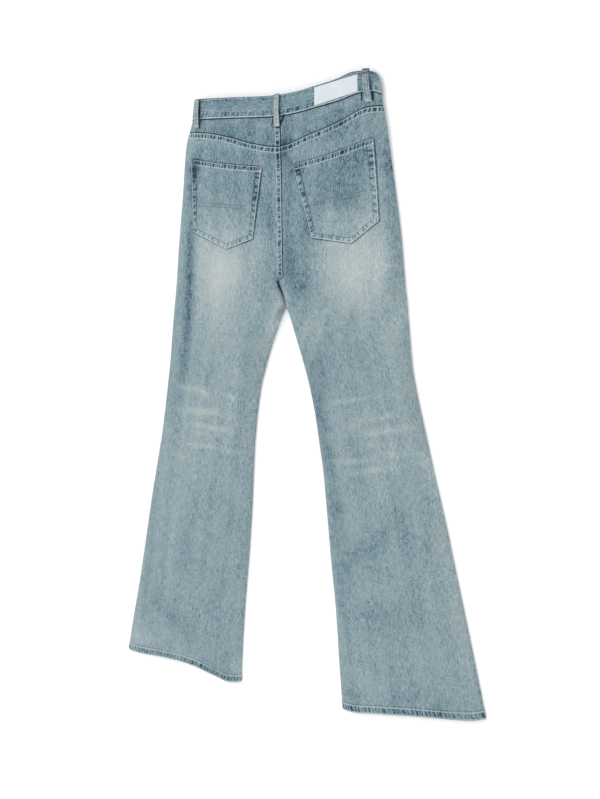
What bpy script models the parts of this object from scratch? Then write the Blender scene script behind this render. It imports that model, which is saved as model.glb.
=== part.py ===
"""Bootcut jeans laid flat on a surface with the back side up.

The waist points to +Y, the hems to -Y, the seat faces +Z and the fronts lie on z = 0.
The upper layer is one smooth height over the outline, worked out from the stations below.
Every cloth piece is a wall whose outer points lie on that height, cut along its own seams.
"""
import bmesh
import bpy
import numpy as np

# Cloth, in metres
CLOTH = 0.0014           # one layer of denim
BAND_CLOTH = 0.0026      # the doubled waistband
HEM_CLOTH = 0.0026       # the turned-up hem
POCKET_CLOTH = 0.0013
LOOP_CLOTH = 0.0018
LABEL_CLOTH = 0.0012
SEAM_GAP = 0.0003        # daylight between sewn pieces
LAY_GAP = 0.0006         # daylight under what lies on a panel
BAND_PROUD = 0.0006      # the waistband and hems stand out from the panels

# Outline of the garment as it lies, x of each edge at a height y along it.
# left and right are the outer folds, gap_left and gap_right the inner ones below the crotch,
# loft is the height of the upper layer in the middle of the section.
STATION_COLUMNS = ("y", "left", "right", "gap_left", "gap_right", "loft")
STATIONS = (
    (-0.560, -0.3800, 0.3815, -0.1075, 0.1085, 0.0115),
    (-0.460, -0.3595, 0.3605, -0.1010, 0.1015, 0.0120),
    (-0.370, -0.3380, 0.3405, -0.0925, 0.0960, 0.0130),
    (-0.280, -0.3190, 0.3200, -0.0825, 0.0870, 0.0140),
    (-0.190, -0.3000, 0.2995, -0.0745, 0.0795, 0.0150),
    (-0.130, -0.2860, 0.2845, -0.0705, 0.0740, 0.0160),
    (-0.080, -0.2745, 0.2725, -0.0665, 0.0670, 0.0170),
    (-0.030, -0.2650, 0.2605, -0.0605, 0.0595, 0.0180),
    (0.020, -0.2565, 0.2490, -0.0515, 0.0490, 0.0190),
    (0.060, -0.2500, 0.2415, -0.0395, 0.0380, 0.0195),
    (0.105, -0.2445, 0.2370, -0.0225, 0.0240, 0.0200),
    (0.145, -0.2395, 0.2335, -0.0055, 0.0095, 0.0200),
    (0.155, -0.2380, 0.2325, 0.0025, 0.0025, 0.0200),
    (0.190, -0.2330, 0.2290, 0.0025, 0.0025, 0.0205),
    (0.270, -0.2240, 0.2220, 0.0025, 0.0025, 0.0215),
    (0.360, -0.2125, 0.2100, 0.0025, 0.0025, 0.0215),
    (0.450, -0.1995, 0.1975, 0.0025, 0.0025, 0.0200),
    (0.492, -0.1850, 0.1905, 0.0025, 0.0025, 0.0190),
    (0.512, -0.1815, 0.1885, 0.0025, 0.0025, 0.0185),
    (0.528, -0.1795, 0.1850, 0.0025, 0.0025, 0.0185),
    (0.546, -0.1785, 0.1735, 0.0025, 0.0025, 0.0180),
)
CROTCH_Y = 0.155
# The seat seam leans a little as the garment lies
CENTRE_COLUMNS = ("y", "x")
CENTRE_LINE = ((0.155, 0.0025), (0.205, 0.0080), (0.430, 0.0070), (0.560, 0.0055))

# How the upper layer rounds over at the folds
ROLL_POWER = 2.4
ROLL_LENGTH = 3.2        # times the loft
FOLD_LOW = 0.0018        # height of the side seam above the surface
FOLD_SHARE = 0.17        # share of the loft at which a fold reaches out furthest
FOLD_BASE = 0.0008
GROOVE_REACH = 0.075     # the groove above the crotch fades out over this length
GROOVE_WIDTH = 0.030

# The waist rests on its loops and button, so the fronts rise a little towards it
WAIST_LIFT = 0.0036
LIFT_FROM_Y = 0.36
LIFT_TO_Y = 0.47

# Seams across the garment: y over x for the back, as (x, y)
WAIST_SEAM = ((-0.1965, 0.4940), (-0.0965, 0.4880), (0.0035, 0.4825), (0.0335, 0.4840),
              (0.0735, 0.4895), (0.1185, 0.4965), (0.1600, 0.5055), (0.1785, 0.5060), (0.1900, 0.5025))
YOKE_SEAM = ((-0.2065, 0.4735), (-0.1415, 0.4655), (-0.0965, 0.4550), (-0.0515, 0.4410),
             (0.0035, 0.4315), (0.0605, 0.4455), (0.1185, 0.4620), (0.1715, 0.4815), (0.2035, 0.4835))
BAND_HEIGHT = 0.0350
BAND_ROWS = 5
FRONT_DIP = 0.016        # the front of the waist sits this much lower at the centre
WAIST_REACH = 0.19       # half width over which that dip fades out
# Hem line over the share of the leg's width from its inner to its outer fold
HEM_LEFT = ((0.00, -0.5330), (0.08, -0.5350), (0.20, -0.5285), (0.36, -0.5185), (0.52, -0.5140),
            (0.68, -0.5130), (0.82, -0.5140), (1.00, -0.5130))
HEM_RIGHT = ((0.00, -0.5435), (0.10, -0.5425), (0.23, -0.5380), (0.47, -0.5290), (0.61, -0.5245),
             (0.76, -0.5200), (0.90, -0.5150), (1.00, -0.5095))
HEM_HEIGHT = 0.015
YOKE_RISE = 0.0007       # the felled yoke seam is thicker than the panel below it
YOKE_FELL = 0.0095

# Broad soft folds of the upper layer: centre, direction, half length, half width, height
FOLD_COLUMNS = ("x", "y", "degrees", "length", "width", "height")
FOLDS = (
    (-0.146, 0.117, 100.0, 0.110, 0.030, 0.0016),
    (-0.071, 0.147, 60.0, 0.060, 0.022, -0.0018),
    (0.089, 0.138, 118.0, 0.070, 0.024, -0.0018),
    (0.153, 0.107, 84.0, 0.120, 0.032, 0.0015),
    (-0.167, -0.062, 92.0, 0.100, 0.030, -0.0012),
    (0.169, -0.073, 80.0, 0.110, 0.030, -0.0012),
    (-0.211, -0.333, 76.0, 0.130, 0.035, 0.0018),
    (-0.157, -0.453, 70.0, 0.090, 0.028, 0.0026),
    (0.248, -0.343, 102.0, 0.120, 0.035, 0.0016),
    (0.174, -0.432, 96.0, 0.100, 0.028, -0.0014),
)

# Distances of the mesh columns from a fold, and from the seat seam above the crotch
FOLD_STEPS = (0.0006, 0.0, 0.0015, 0.0050, 0.0120, 0.0240, 0.0420)
SEAM_STEPS = (0.00015, 0.0030, 0.0070, 0.0120, 0.0180, 0.0280, 0.0420)
MIDDLE_COLUMNS = 4
FRONT_SHARES = (0.0, 0.06, 0.20, 0.40, 0.60, 0.80, 0.94, 1.0)
FOLD_INSET = 0.0009      # the under layer stops this far inside a fold
BODY_BLEND = 0.012       # the inner fold opens into the seat seam over this length
LEG_ROWS = 20
CROTCH_ROWS = 9
CROTCH_SPAN = (0.095, 0.235)

# Back pockets: x and y of their five corners, and how far the mouth sags between its ends
POCKETS = {
    "left": {"top_inner": (-0.0295, 0.4015), "top_outer": (-0.1810, 0.4250), "foot_outer": (-0.1780, 0.2955),
             "tip": (-0.1080, 0.2625), "foot_inner": (-0.0515, 0.2785), "sag": 0.0024},
    "right": {"top_inner": (0.0300, 0.4005), "top_outer": (0.1810, 0.4330), "foot_outer": (0.1905, 0.2990),
              "tip": (0.1410, 0.2645), "foot_inner": (0.0660, 0.2760), "sag": 0.0038},
}
POCKET_COLUMNS = 12
POCKET_ROWS = 10

# Belt loops on the back: centre x, top y, bottom y, lean of the foot
LOOP_COLUMNS = ("name", "x", "top", "bottom", "lean")
BACK_LOOPS = (
    ("loop_side_left", -0.1665, 0.5270, 0.4810, -0.0010),
    ("loop_centre_back", 0.0030, 0.5180, 0.4640, 0.0010),
    ("loop_side_right", 0.1640, 0.5430, 0.4905, 0.0035),
)
FRONT_LOOPS = (("loop_front_left", -0.1015), ("loop_front_right", 0.1085))
LOOP_WIDTH = 0.0102
LOOP_LENGTH = 0.050
LOOP_ARCH = 0.0016

LABEL_CORNERS = ((0.0740, 0.4950), (0.1540, 0.5100), (0.1535, 0.5335), (0.0745, 0.5215))

FLY_DROP = 0.002         # below the waist seam
FLY_LENGTH = 0.160
FLY_WIDTH = 0.046
ZIP_WIDTH = 0.026
ZIP_CLOTH = 0.0012
BUTTON_RADIUS = 0.0085
BUTTON_HEIGHT = 0.0024
BUTTON_INSET = 0.014     # from the end of the waistband

COLOURS = {
    "denim": (0.30, 0.43, 0.50),
    "denim_dark": (0.22, 0.34, 0.42),
    "label": (0.78, 0.84, 0.88),
    "zip": (0.35, 0.42, 0.47),
    "metal": (0.55, 0.50, 0.42),
}


def column(table, names, name):
    """One named column of a table as an array."""
    place = names.index(name)
    return np.array([row[place] for row in table], dtype=float)


def smooth(xs, ys, where):
    """A curve through the points with no overshoot between them."""
    order = np.argsort(xs)
    xs = np.asarray(xs, dtype=float)[order]
    ys = np.asarray(ys, dtype=float)[order]
    steps = np.diff(xs)
    rises = np.diff(ys) / steps
    slopes = np.zeros(len(xs))
    slopes[0] = rises[0]
    slopes[-1] = rises[-1]
    same = rises[:-1] * rises[1:] > 0.0
    total = np.where(same, rises[:-1] + rises[1:], 1.0)
    slopes[1:-1] = np.where(same, 2.0 * rises[:-1] * rises[1:] / total, 0.0)
    where = np.clip(np.asarray(where, dtype=float), xs[0], xs[-1])
    cell = np.clip(np.searchsorted(xs, where, side="right") - 1, 0, len(steps) - 1)
    length = steps[cell]
    t = (where - xs[cell]) / length
    start = ys[cell] * (1.0 + 2.0 * t) * (1.0 - t) ** 2
    end = ys[cell + 1] * t * t * (3.0 - 2.0 * t)
    lean = length * t * (1.0 - t) * (slopes[cell] * (1.0 - t) - slopes[cell + 1] * t)
    return start + end + lean


def along(name, y):
    """A column of the stations at any y."""
    return smooth(column(STATIONS, STATION_COLUMNS, "y"), column(STATIONS, STATION_COLUMNS, name), y)


def centre(y):
    """x of the seat seam and of the centre front."""
    return smooth(column(CENTRE_LINE, CENTRE_COLUMNS, "y"), column(CENTRE_LINE, CENTRE_COLUMNS, "x"), y)


def seam(line, x):
    """y of a seam at x."""
    return smooth([p[0] for p in line], [p[1] for p in line], x)


def ease(low, high, value):
    """0 below low, 1 above high, smooth between."""
    t = np.clip((value - low) / (high - low), 0.0, 1.0)
    return t * t * (3.0 - 2.0 * t)


def roll(distance, length):
    """Share of the loft reached at a distance from a fold."""
    t = 1.0 - np.clip(distance / length, 0.0, 1.0)
    return (1.0 - t ** ROLL_POWER) ** (1.0 / ROLL_POWER)


def lift(y):
    """Height of the fronts above the surface."""
    return WAIST_LIFT * ease(LIFT_FROM_Y, LIFT_TO_Y, y)


def edges(side, y):
    """Inner and outer x of a half at y: the folds of a leg, or the seat seam and a side fold."""
    outer = along("left" if side < 0 else "right", y)
    gap = along("gap_left" if side < 0 else "gap_right", y)
    inner = np.where(y < CROTCH_Y, gap, centre(y))
    return inner, outer


def soft_folds(x, y):
    """Height that the broad folds add."""
    total = np.zeros(np.broadcast(x, y).shape)
    for row in FOLDS:
        fold = dict(zip(FOLD_COLUMNS, row))
        turn = np.radians(fold["degrees"])
        run = (x - fold["x"]) * np.cos(turn) + (y - fold["y"]) * np.sin(turn)
        across = (y - fold["y"]) * np.cos(turn) - (x - fold["x"]) * np.sin(turn)
        total += fold["height"] * np.exp(-(run / fold["length"]) ** 2 - (across / fold["width"]) ** 2)
    return total


def top_height(x, y):
    """Height of the outer face of the upper layer."""
    x, y = np.broadcast_arrays(np.asarray(x, dtype=float), np.asarray(y, dtype=float))
    side = np.where(x < centre(y), -1.0, 1.0)
    inner_left, outer_left = edges(-1, y)
    inner_right, outer_right = edges(1, y)
    outer = np.where(side < 0, outer_left, outer_right)
    inner = np.where(side < 0, inner_left, inner_right)
    loft = along("loft", y)
    from_outer = np.clip((outer - x) * side, 0.0, None)
    from_inner = np.clip((x - inner) * side, 0.0, None)
    depth = 1.0 - ease(CROTCH_Y, CROTCH_Y + GROOVE_REACH, y)
    inner_length = GROOVE_WIDTH + (ROLL_LENGTH * loft - GROOVE_WIDTH) * (1.0 - ease(0.02, CROTCH_Y, y))
    rise = roll(from_outer, ROLL_LENGTH * loft)
    rise = rise * (1.0 - depth * (1.0 - roll(from_inner, inner_length)))
    middle = ease(0.0, 0.03, from_outer) * ease(0.0, 0.03, from_inner + (1.0 - depth))
    return lift(y) + loft * rise + soft_folds(x, y) * middle


def back_columns(side, y):
    """x of the mesh columns of one half of the upper layer, from its inner edge to its outer fold.

    y has one row for each row of the mesh and one column for each column of it.
    """
    count = len(FOLD_STEPS)
    total = 2 * count + MIDDLE_COLUMNS
    y = np.broadcast_to(y, (len(y), total))
    inner, outer = edges(side, y)
    body = ease(CROTCH_Y, CROTCH_Y + BODY_BLEND, y)
    x = np.zeros(y.shape)
    for k in range(count):
        step = FOLD_STEPS[k] * (1.0 - body[:, k]) + SEAM_STEPS[k] * body[:, k]
        x[:, k] = inner[:, k] + side * step
        x[:, total - 1 - k] = outer[:, total - 1 - k] - side * FOLD_STEPS[k]
    for k in range(MIDDLE_COLUMNS):
        share = (k + 1) / (MIDDLE_COLUMNS + 1)
        start = inner[:, count + k] + side * FOLD_STEPS[-1]
        end = outer[:, count + k] - side * FOLD_STEPS[-1]
        x[:, count + k] = start + (end - start) * share
    return x


def front_columns(side, y):
    """x of the mesh columns of one half of the under layer, from its inner edge to its outer one."""
    y = np.broadcast_to(y, (len(y), len(FRONT_SHARES)))
    inner, outer = edges(side, y)
    inset = FOLD_INSET * (1.0 - ease(CROTCH_Y, CROTCH_Y + BODY_BLEND, y)) + SEAM_GAP / 2
    start = inner + side * inset
    end = outer - side * FOLD_INSET
    return start + (end - start) * np.array(FRONT_SHARES)[None, :]


def half_section(side, y):
    """Outer points of one half of the upper layer at the rows y."""
    x = back_columns(side, y)
    body = ease(CROTCH_Y, CROTCH_Y + BODY_BLEND, y)
    loft = along("loft", y)
    z = top_height(x, y)
    low = lift(y) + FOLD_LOW
    widest = lift(y) + FOLD_BASE + FOLD_SHARE * loft
    z[:, -1] = low[:, -1]
    z[:, -2] = widest[:, -2]
    z[:, 0] = low[:, 0] * (1.0 - body[:, 0]) + z[:, 0] * body[:, 0]
    z[:, 1] = widest[:, 1] * (1.0 - body[:, 1]) + z[:, 1] * body[:, 1]
    return np.stack([x, y, z], axis=-1)


def seam_across(side, line, columns):
    """y at which each mesh column of a half crosses a seam."""
    y = np.full(len(columns(side, np.zeros((1, 1)))[0]), 0.47)
    for _ in range(6):
        y = seam(line, columns(side, y[None, :])[0])
    return y


def hem_across(side, columns):
    """y at which each mesh column of a leg crosses the hem line."""
    line = HEM_LEFT if side < 0 else HEM_RIGHT
    y = np.full(len(columns(side, np.zeros((1, 1)))[0]), -0.52)
    for _ in range(6):
        inner, outer = edges(side, y)
        y = seam(line, (columns(side, y[None, :])[0] - inner) / (outer - inner))
    return y


def facing(points, upward=True):
    """Unit normals of a grid of points."""
    across = np.gradient(points, axis=1)
    down = np.gradient(points, axis=0)
    normal = np.cross(across, down)
    length = np.linalg.norm(normal, axis=-1, keepdims=True)
    normal = normal / np.maximum(length, 1e-12)
    middle = normal[normal.shape[0] // 2, normal.shape[1] // 2, 2]
    if (middle < 0.0) == upward:
        normal = -normal
    return normal


def add_material(name, colour, roughness=0.85, metallic=0.0):
    """A plain Principled material."""
    material = bpy.data.materials.new(name)
    material.use_nodes = True
    shader = material.node_tree.nodes["Principled BSDF"]
    shader.inputs["Base Color"].default_value = (*colour, 1.0)
    shader.inputs["Roughness"].default_value = roughness
    shader.inputs["Metallic"].default_value = metallic
    material.diffuse_color = (*colour, 1.0)
    return material


def add_object(name, mesh, colour, roughness=0.85, metallic=0.0):
    """An object of one closed mesh, faces outward, with its own material."""
    form = bmesh.new()
    form.from_mesh(mesh)
    bmesh.ops.recalc_face_normals(form, faces=form.faces[:])
    if form.calc_volume(signed=True) < 0.0:
        bmesh.ops.reverse_faces(form, faces=form.faces[:])
    form.to_mesh(mesh)
    form.free()
    mesh.materials.append(add_material(name, COLOURS[colour], roughness, metallic))
    piece = bpy.data.objects.new(name, mesh)
    bpy.context.scene.collection.objects.link(piece)
    return piece


def wall(name, outside, inside, colour):
    """A closed wall between two grids of points of the same size."""
    rows, columns = outside.shape[:2]
    points = np.concatenate([outside.reshape(-1, 3), inside.reshape(-1, 3)])
    shift = rows * columns
    faces = []

    def at(row, col, layer):
        return row * columns + col + layer * shift

    for i in range(rows - 1):
        for j in range(columns - 1):
            faces.append((at(i, j, 0), at(i, j + 1, 0), at(i + 1, j + 1, 0), at(i + 1, j, 0)))
            faces.append((at(i, j, 1), at(i + 1, j, 1), at(i + 1, j + 1, 1), at(i, j + 1, 1)))
    for i in range(rows - 1):
        for j in (0, columns - 1):
            faces.append((at(i, j, 0), at(i + 1, j, 0), at(i + 1, j, 1), at(i, j, 1)))
    for j in range(columns - 1):
        for i in (0, rows - 1):
            faces.append((at(i, j, 0), at(i, j, 1), at(i, j + 1, 1), at(i, j + 1, 0)))
    mesh = bpy.data.meshes.new(name)
    mesh.from_pydata([tuple(p) for p in points], [], faces)
    return add_object(name, mesh, colour)


def leg_rows(low, high):
    """Shares of the length from hem to yoke seam, closer together round the crotch."""
    even = np.linspace(0.0, 1.0, LEG_ROWS)
    near = (np.linspace(*CROTCH_SPAN, CROTCH_ROWS) - low) / (high - low)
    clear = 0.6 * (even[1] - even[0])
    kept = [s for s in even if s < near[0] - clear or s > near[-1] + clear]
    fell = 1.0 - np.array([YOKE_FELL, YOKE_FELL + 0.0015]) / (high - low)
    kept = [s for s in kept if s < fell[1] - 0.01 or s == 1.0]
    return np.array(sorted(kept + list(near) + list(fell)))


def back_leg(name, side):
    """A back leg: one wall from the hem band up to the yoke seam."""
    hem = hem_across(side, back_columns) + HEM_HEIGHT + SEAM_GAP / 2
    top = seam_across(side, YOKE_SEAM, back_columns) - SEAM_GAP / 2
    rows = leg_rows(float(hem.mean()), float(top.mean()))
    y = hem[None, :] + (top - hem)[None, :] * rows[:, None]
    outside = half_section(side, y)
    normal = facing(outside)
    inside = outside - normal * CLOTH
    outside[-2:] += normal[-2:] * YOKE_RISE
    return wall(name, outside, inside, "denim")


def yoke(name, side):
    """A back yoke between the yoke seam and the waistband."""
    low = seam_across(side, YOKE_SEAM, back_columns) + SEAM_GAP / 2
    high = seam_across(side, WAIST_SEAM, back_columns) - SEAM_GAP / 2
    rows = np.linspace(0.0, 1.0, 5)
    y = low[None, :] + (high - low)[None, :] * rows[:, None]
    outside = half_section(side, y)
    inside = outside - facing(outside) * CLOTH
    return wall(name, outside, inside, "denim")


def front_waist_seam(x):
    """y of the waist seam under the garment, lower at the centre than the back's."""
    reach = np.clip(np.abs(x - centre_front()) / WAIST_REACH, 0.0, 1.0)
    return seam(WAIST_SEAM, x) - FRONT_DIP * (1.0 - reach * reach)


def centre_front():
    """x at which the ends of the waistband meet."""
    return float(centre(WAIST_SEAM[2][1]))


def front_waist_across(side):
    """y at which each column of a front crosses the waist seam."""
    y = np.full(len(FRONT_SHARES), 0.47)
    for _ in range(6):
        y = front_waist_seam(front_columns(side, y[None, :])[0])
    return y


def front_leg(name, side):
    """A front leg: a flat wall that the garment rests on."""
    hem = hem_across(side, front_columns) + HEM_HEIGHT + SEAM_GAP / 2
    top = front_waist_across(side) - SEAM_GAP / 2
    rows = leg_rows(float(hem.mean()), float(top.mean()))
    y = hem[None, :] + (top - hem)[None, :] * rows[:, None]
    lower = np.stack([front_columns(side, y), y, lift(y)], axis=-1)
    upper = lower + np.array([0.0, 0.0, CLOTH])
    return wall(name, upper, lower, "denim")


def hem_band(name, side):
    """A turned-up hem: a flat ring round the leg's end, a little proud of it."""
    rows = np.array([0.0, HEM_HEIGHT - SEAM_GAP / 2])[:, None]
    over = half_section(side, hem_across(side, back_columns)[None, :] + rows)
    over = over + facing(over) * BAND_PROUD
    under_y = hem_across(side, front_columns)[None, :] + rows
    under = np.stack([front_columns(side, under_y), under_y, np.zeros_like(under_y)], axis=-1)
    ring = np.concatenate([over, under[:, ::-1]], axis=1)
    return ring_wall(name, ring, HEM_CLOTH, "denim_dark")


def ring_normals(ring):
    """Normals of a closed ring of columns, facing away from its middle."""
    across = np.roll(ring, -1, axis=1) - np.roll(ring, 1, axis=1)
    along_y = np.gradient(ring, axis=0)
    normal = np.cross(across, along_y)
    normal /= np.maximum(np.linalg.norm(normal, axis=-1, keepdims=True), 1e-12)
    middle = ring.mean(axis=1, keepdims=True)
    if np.sum(normal * (ring - middle)) < 0.0:
        normal = -normal
    return normal


def ring_wall(name, ring, thickness, colour):
    """A closed ring with a wall inside the given outer points."""
    inside = ring - ring_normals(ring) * thickness
    rows, columns = ring.shape[:2]
    points = np.concatenate([ring.reshape(-1, 3), inside.reshape(-1, 3)])
    shift = rows * columns
    faces = []
    for j in range(columns):
        k = (j + 1) % columns
        for i in range(rows - 1):
            a, b, c, d = i * columns + j, i * columns + k, (i + 1) * columns + k, (i + 1) * columns + j
            faces.append((a, b, c, d))
            faces.append((a + shift, d + shift, c + shift, b + shift))
        last = (rows - 1) * columns
        faces.append((j, j + shift, k + shift, k))
        faces.append((last + j, last + k, last + k + shift, last + j + shift))
    mesh = bpy.data.meshes.new(name)
    mesh.from_pydata([tuple(p) for p in points], [], faces)
    return add_object(name, mesh, colour)


def waistband(name):
    """The waistband: one strip round the waist whose ends meet under the front."""
    heights = BAND_HEIGHT * np.linspace(0.0, 1.0, BAND_ROWS)[:, None] + SEAM_GAP / 2
    over = {}
    under = {}
    for side in (1, -1):
        y = seam_across(side, WAIST_SEAM, back_columns)[None, :] + heights
        over[side] = half_section(side, y)
        y = front_waist_across(side)[None, :] + heights
        under[side] = np.stack([front_columns(side, y), y, lift(y)], axis=-1)
    middle = 0.5 * (over[1][:, :1] + over[-1][:, :1])
    strip = np.concatenate([under[1][:, :-1], over[1][:, :0:-1], middle, over[-1][:, 1:],
                            under[-1][:, -2::-1]], axis=1)
    normal = strip_normals(strip)
    outside = strip + normal * BAND_PROUD
    inside = outside - normal * BAND_CLOTH
    return wall(name, outside, inside, "denim_dark")


def strip_normals(strip):
    """Normals of an open strip that runs round the waist, facing outward."""
    across = np.gradient(strip, axis=1)
    up = np.gradient(strip, axis=0)
    normal = np.cross(across, up)
    normal /= np.maximum(np.linalg.norm(normal, axis=-1, keepdims=True), 1e-12)
    middle = strip.mean(axis=1, keepdims=True)
    if np.sum(normal * (strip - middle)) < 0.0:
        normal = -normal
    return normal


def laid_on(name, x, y, base, thickness, colour):
    """A flat piece that lies on the upper layer, its points moved out from it."""
    surface = np.stack([x, y, top_height(x, y)], axis=-1)
    normal = facing(surface)
    under = surface + normal * base
    over = under + normal * thickness
    return wall(name, over, under, colour)


def back_pocket(name, word):
    """A patch pocket with a pointed foot."""
    corners = {key: np.array(value) for key, value in POCKETS[word].items()}
    foot_width = corners["foot_outer"][0] - corners["foot_inner"][0]
    tip_share = (corners["tip"][0] - corners["foot_inner"][0]) / foot_width
    split = int(round(tip_share * POCKET_COLUMNS))
    share = np.concatenate([np.linspace(0.0, tip_share, split + 1),
                            np.linspace(tip_share, 1.0, POCKET_COLUMNS - split + 1)[1:]])
    top = corners["top_inner"] + (corners["top_outer"] - corners["top_inner"]) * share[:, None]
    top[:, 1] -= corners["sag"] * 4.0 * share * (1.0 - share)
    nearer = np.clip(share / tip_share, 0.0, 1.0)[:, None]
    further = np.clip((share - tip_share) / (1.0 - tip_share), 0.0, 1.0)[:, None]
    foot = corners["foot_inner"] + (corners["tip"] - corners["foot_inner"]) * nearer
    foot = foot + (corners["foot_outer"] - corners["tip"]) * further
    rows = np.linspace(0.0, 1.0, POCKET_ROWS)[:, None, None]
    grid = top[None] + (foot - top)[None] * rows
    return laid_on(name, grid[..., 0], grid[..., 1], LAY_GAP, POCKET_CLOTH, "denim")


def back_loop(name, x, top, bottom, lean):
    """A belt loop: a strip over the waistband, turned under at both ends and arched between."""
    rows = np.linspace(0.0, 1.0, 9)
    across = np.linspace(-0.5, 0.5, 4) * LOOP_WIDTH
    places = x + lean * rows[:, None] + across[None, :]
    y = np.broadcast_to((top + (bottom - top) * rows)[:, None], places.shape)
    surface = np.stack([places, y, top_height(places, y)], axis=-1)
    normal = facing(surface)
    arch = BAND_PROUD + LAY_GAP + LOOP_ARCH * np.sin(np.pi * rows)[:, None, None]
    under = surface + normal * arch
    over = under + normal * LOOP_CLOTH
    return wall(name, over, under, "denim_dark")


def front_loop(name, x_mid):
    """A belt loop under the front of the waistband, flat on the surface."""
    low = float(front_waist_seam(np.array(x_mid))) - 0.010
    rows = np.linspace(0.0, 1.0, 3)
    x = x_mid + np.linspace(-0.5, 0.5, 3)[None, :] * LOOP_WIDTH + 0.0 * rows[:, None]
    y = low + LOOP_LENGTH * rows[:, None] + 0.0 * x
    lower = np.stack([x, y, np.zeros_like(x)], axis=-1)
    upper = lower + np.array([0.0, 0.0, LOOP_CLOTH])
    return wall(name, upper, lower, "denim_dark")


def label_patch(name):
    """The blank label sewn on the waistband."""
    low_left, low_right, top_right, top_left = [np.array(p) for p in LABEL_CORNERS]
    across = np.linspace(0.0, 1.0, 8)
    up = np.linspace(0.0, 1.0, 3)
    lower = low_left[None, :] + (low_right - low_left)[None, :] * across[:, None]
    upper = top_left[None, :] + (top_right - top_left)[None, :] * across[:, None]
    grid = lower[None] + (upper - lower)[None] * up[:, None, None]
    return laid_on(name, grid[..., 0], grid[..., 1], BAND_PROUD + LAY_GAP, LABEL_CLOTH, "label")


def fly_strip(name, width, base, thickness, colour):
    """A strip inside the centre front, over the slit between the fronts."""
    top = float(front_waist_seam(centre_front())) - FLY_DROP
    rows = np.linspace(0.0, 1.0, 9)
    y = (top - FLY_LENGTH * rows)[:, None] + np.zeros((1, 3))
    x = centre(y) + np.linspace(-0.5, 0.5, 3)[None, :] * width
    lower = np.stack([x, y, lift(y) + base], axis=-1)
    upper = lower + np.array([0.0, 0.0, thickness])
    return wall(name, upper, lower, colour)


def waist_button(name):
    """The waist button: a turned metal disc under the front of the waistband."""
    profile = ((0.0, 0.0), (0.78, 0.0), (0.95, 0.12), (1.0, 0.35), (1.0, 0.65), (0.90, 1.0), (0.0, 1.0))
    form = bmesh.new()
    points = [form.verts.new((r * BUTTON_RADIUS, 0.0, h * BUTTON_HEIGHT)) for r, h in profile]
    spine = [form.edges.new((points[i], points[i + 1])) for i in range(len(points) - 1)]
    bmesh.ops.spin(form, geom=points + spine, cent=(0, 0, 0), axis=(0, 0, 1), angle=2.0 * np.pi,
                   steps=20, use_merge=True)
    bmesh.ops.remove_doubles(form, verts=form.verts[:], dist=0.00001)
    place_y = float(front_waist_seam(centre_front())) + BAND_HEIGHT / 2
    bmesh.ops.translate(form, verts=form.verts[:], vec=(centre_front() - BUTTON_INSET, place_y, 0.0))
    mesh = bpy.data.meshes.new(name)
    form.to_mesh(mesh)
    form.free()
    return add_object(name, mesh, "metal", roughness=0.35, metallic=1.0)


def clear_scene():
    for item in list(bpy.data.objects):
        bpy.data.objects.remove(item, do_unlink=True)


def build():
    clear_scene()
    for word, side in (("left", -1), ("right", 1)):
        back_leg("back_leg_" + word, side)
        yoke("yoke_" + word, side)
        front_leg("front_leg_" + word, side)
        hem_band("hem_" + word, side)
        back_pocket("back_pocket_" + word, word)
    waistband("waistband")
    for row in BACK_LOOPS:
        back_loop(**dict(zip(LOOP_COLUMNS, row)))
    for name, x_mid in FRONT_LOOPS:
        front_loop(name, x_mid)
    label_patch("label_patch")
    fly_strip("fly_zip", ZIP_WIDTH, CLOTH + LAY_GAP, ZIP_CLOTH, "zip")
    fly_strip("fly_shield", FLY_WIDTH, CLOTH + ZIP_CLOTH + LAY_GAP + SEAM_GAP, CLOTH, "denim_dark")
    waist_button("waist_button")


build()
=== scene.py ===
import math

import bmesh
import bpy
import numpy as np
from mathutils import Matrix


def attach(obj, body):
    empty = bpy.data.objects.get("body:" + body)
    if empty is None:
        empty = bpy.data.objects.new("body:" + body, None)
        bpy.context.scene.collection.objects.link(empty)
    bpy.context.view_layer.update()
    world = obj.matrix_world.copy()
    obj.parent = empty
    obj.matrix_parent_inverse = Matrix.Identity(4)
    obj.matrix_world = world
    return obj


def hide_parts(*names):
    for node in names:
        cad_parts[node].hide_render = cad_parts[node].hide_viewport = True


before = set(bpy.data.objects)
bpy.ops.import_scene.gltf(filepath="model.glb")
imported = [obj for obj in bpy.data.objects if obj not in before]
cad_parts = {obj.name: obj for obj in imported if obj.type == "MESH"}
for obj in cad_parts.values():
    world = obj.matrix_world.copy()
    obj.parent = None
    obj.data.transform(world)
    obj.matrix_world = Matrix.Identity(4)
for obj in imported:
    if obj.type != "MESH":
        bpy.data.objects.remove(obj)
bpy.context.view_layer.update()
scene = bpy.context.scene
bpy.ops.object.select_all(action="DESELECT")

# studio: a pale floor, soft light from the upper left, and the photo's camera
studio = {
    "cameraPlace": (0.9415, 0.1865, 1.578),
    "cameraTurn": (-6.2537, 30.0397, -0.7739),     # degrees
    "lens": 47.31,                                 # on 36 mm of sensor
    "floorSize": 8.0,
    "floorColour": (0.95, 0.95, 0.95),
    "floorRoughness": 0.9,
    "skyColour": (0.98, 0.99, 1.0),
    "skyStrength": 0.90,
    # name, place, size and power of the area lights
    "lights": (("keyLight", (-2.2, 1.6, 4.1), 4.0, 94.0), ("fillLight", (2.2, -2.4, 3.4), 3.0, 22.0)),
}


def addAreaLight(name, place, size, power):
    # it looks at the middle of the floor
    light = bpy.data.lights.new(name, "AREA")
    light.size = size
    light.energy = power
    lamp = bpy.data.objects.new(name, light)
    scene.collection.objects.link(lamp)
    lamp.location = place
    x, y, z = -np.array(place)
    lamp.rotation_euler = (math.atan2(math.hypot(x, y), -z), 0.0, math.atan2(y, x) - math.pi / 2)


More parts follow.
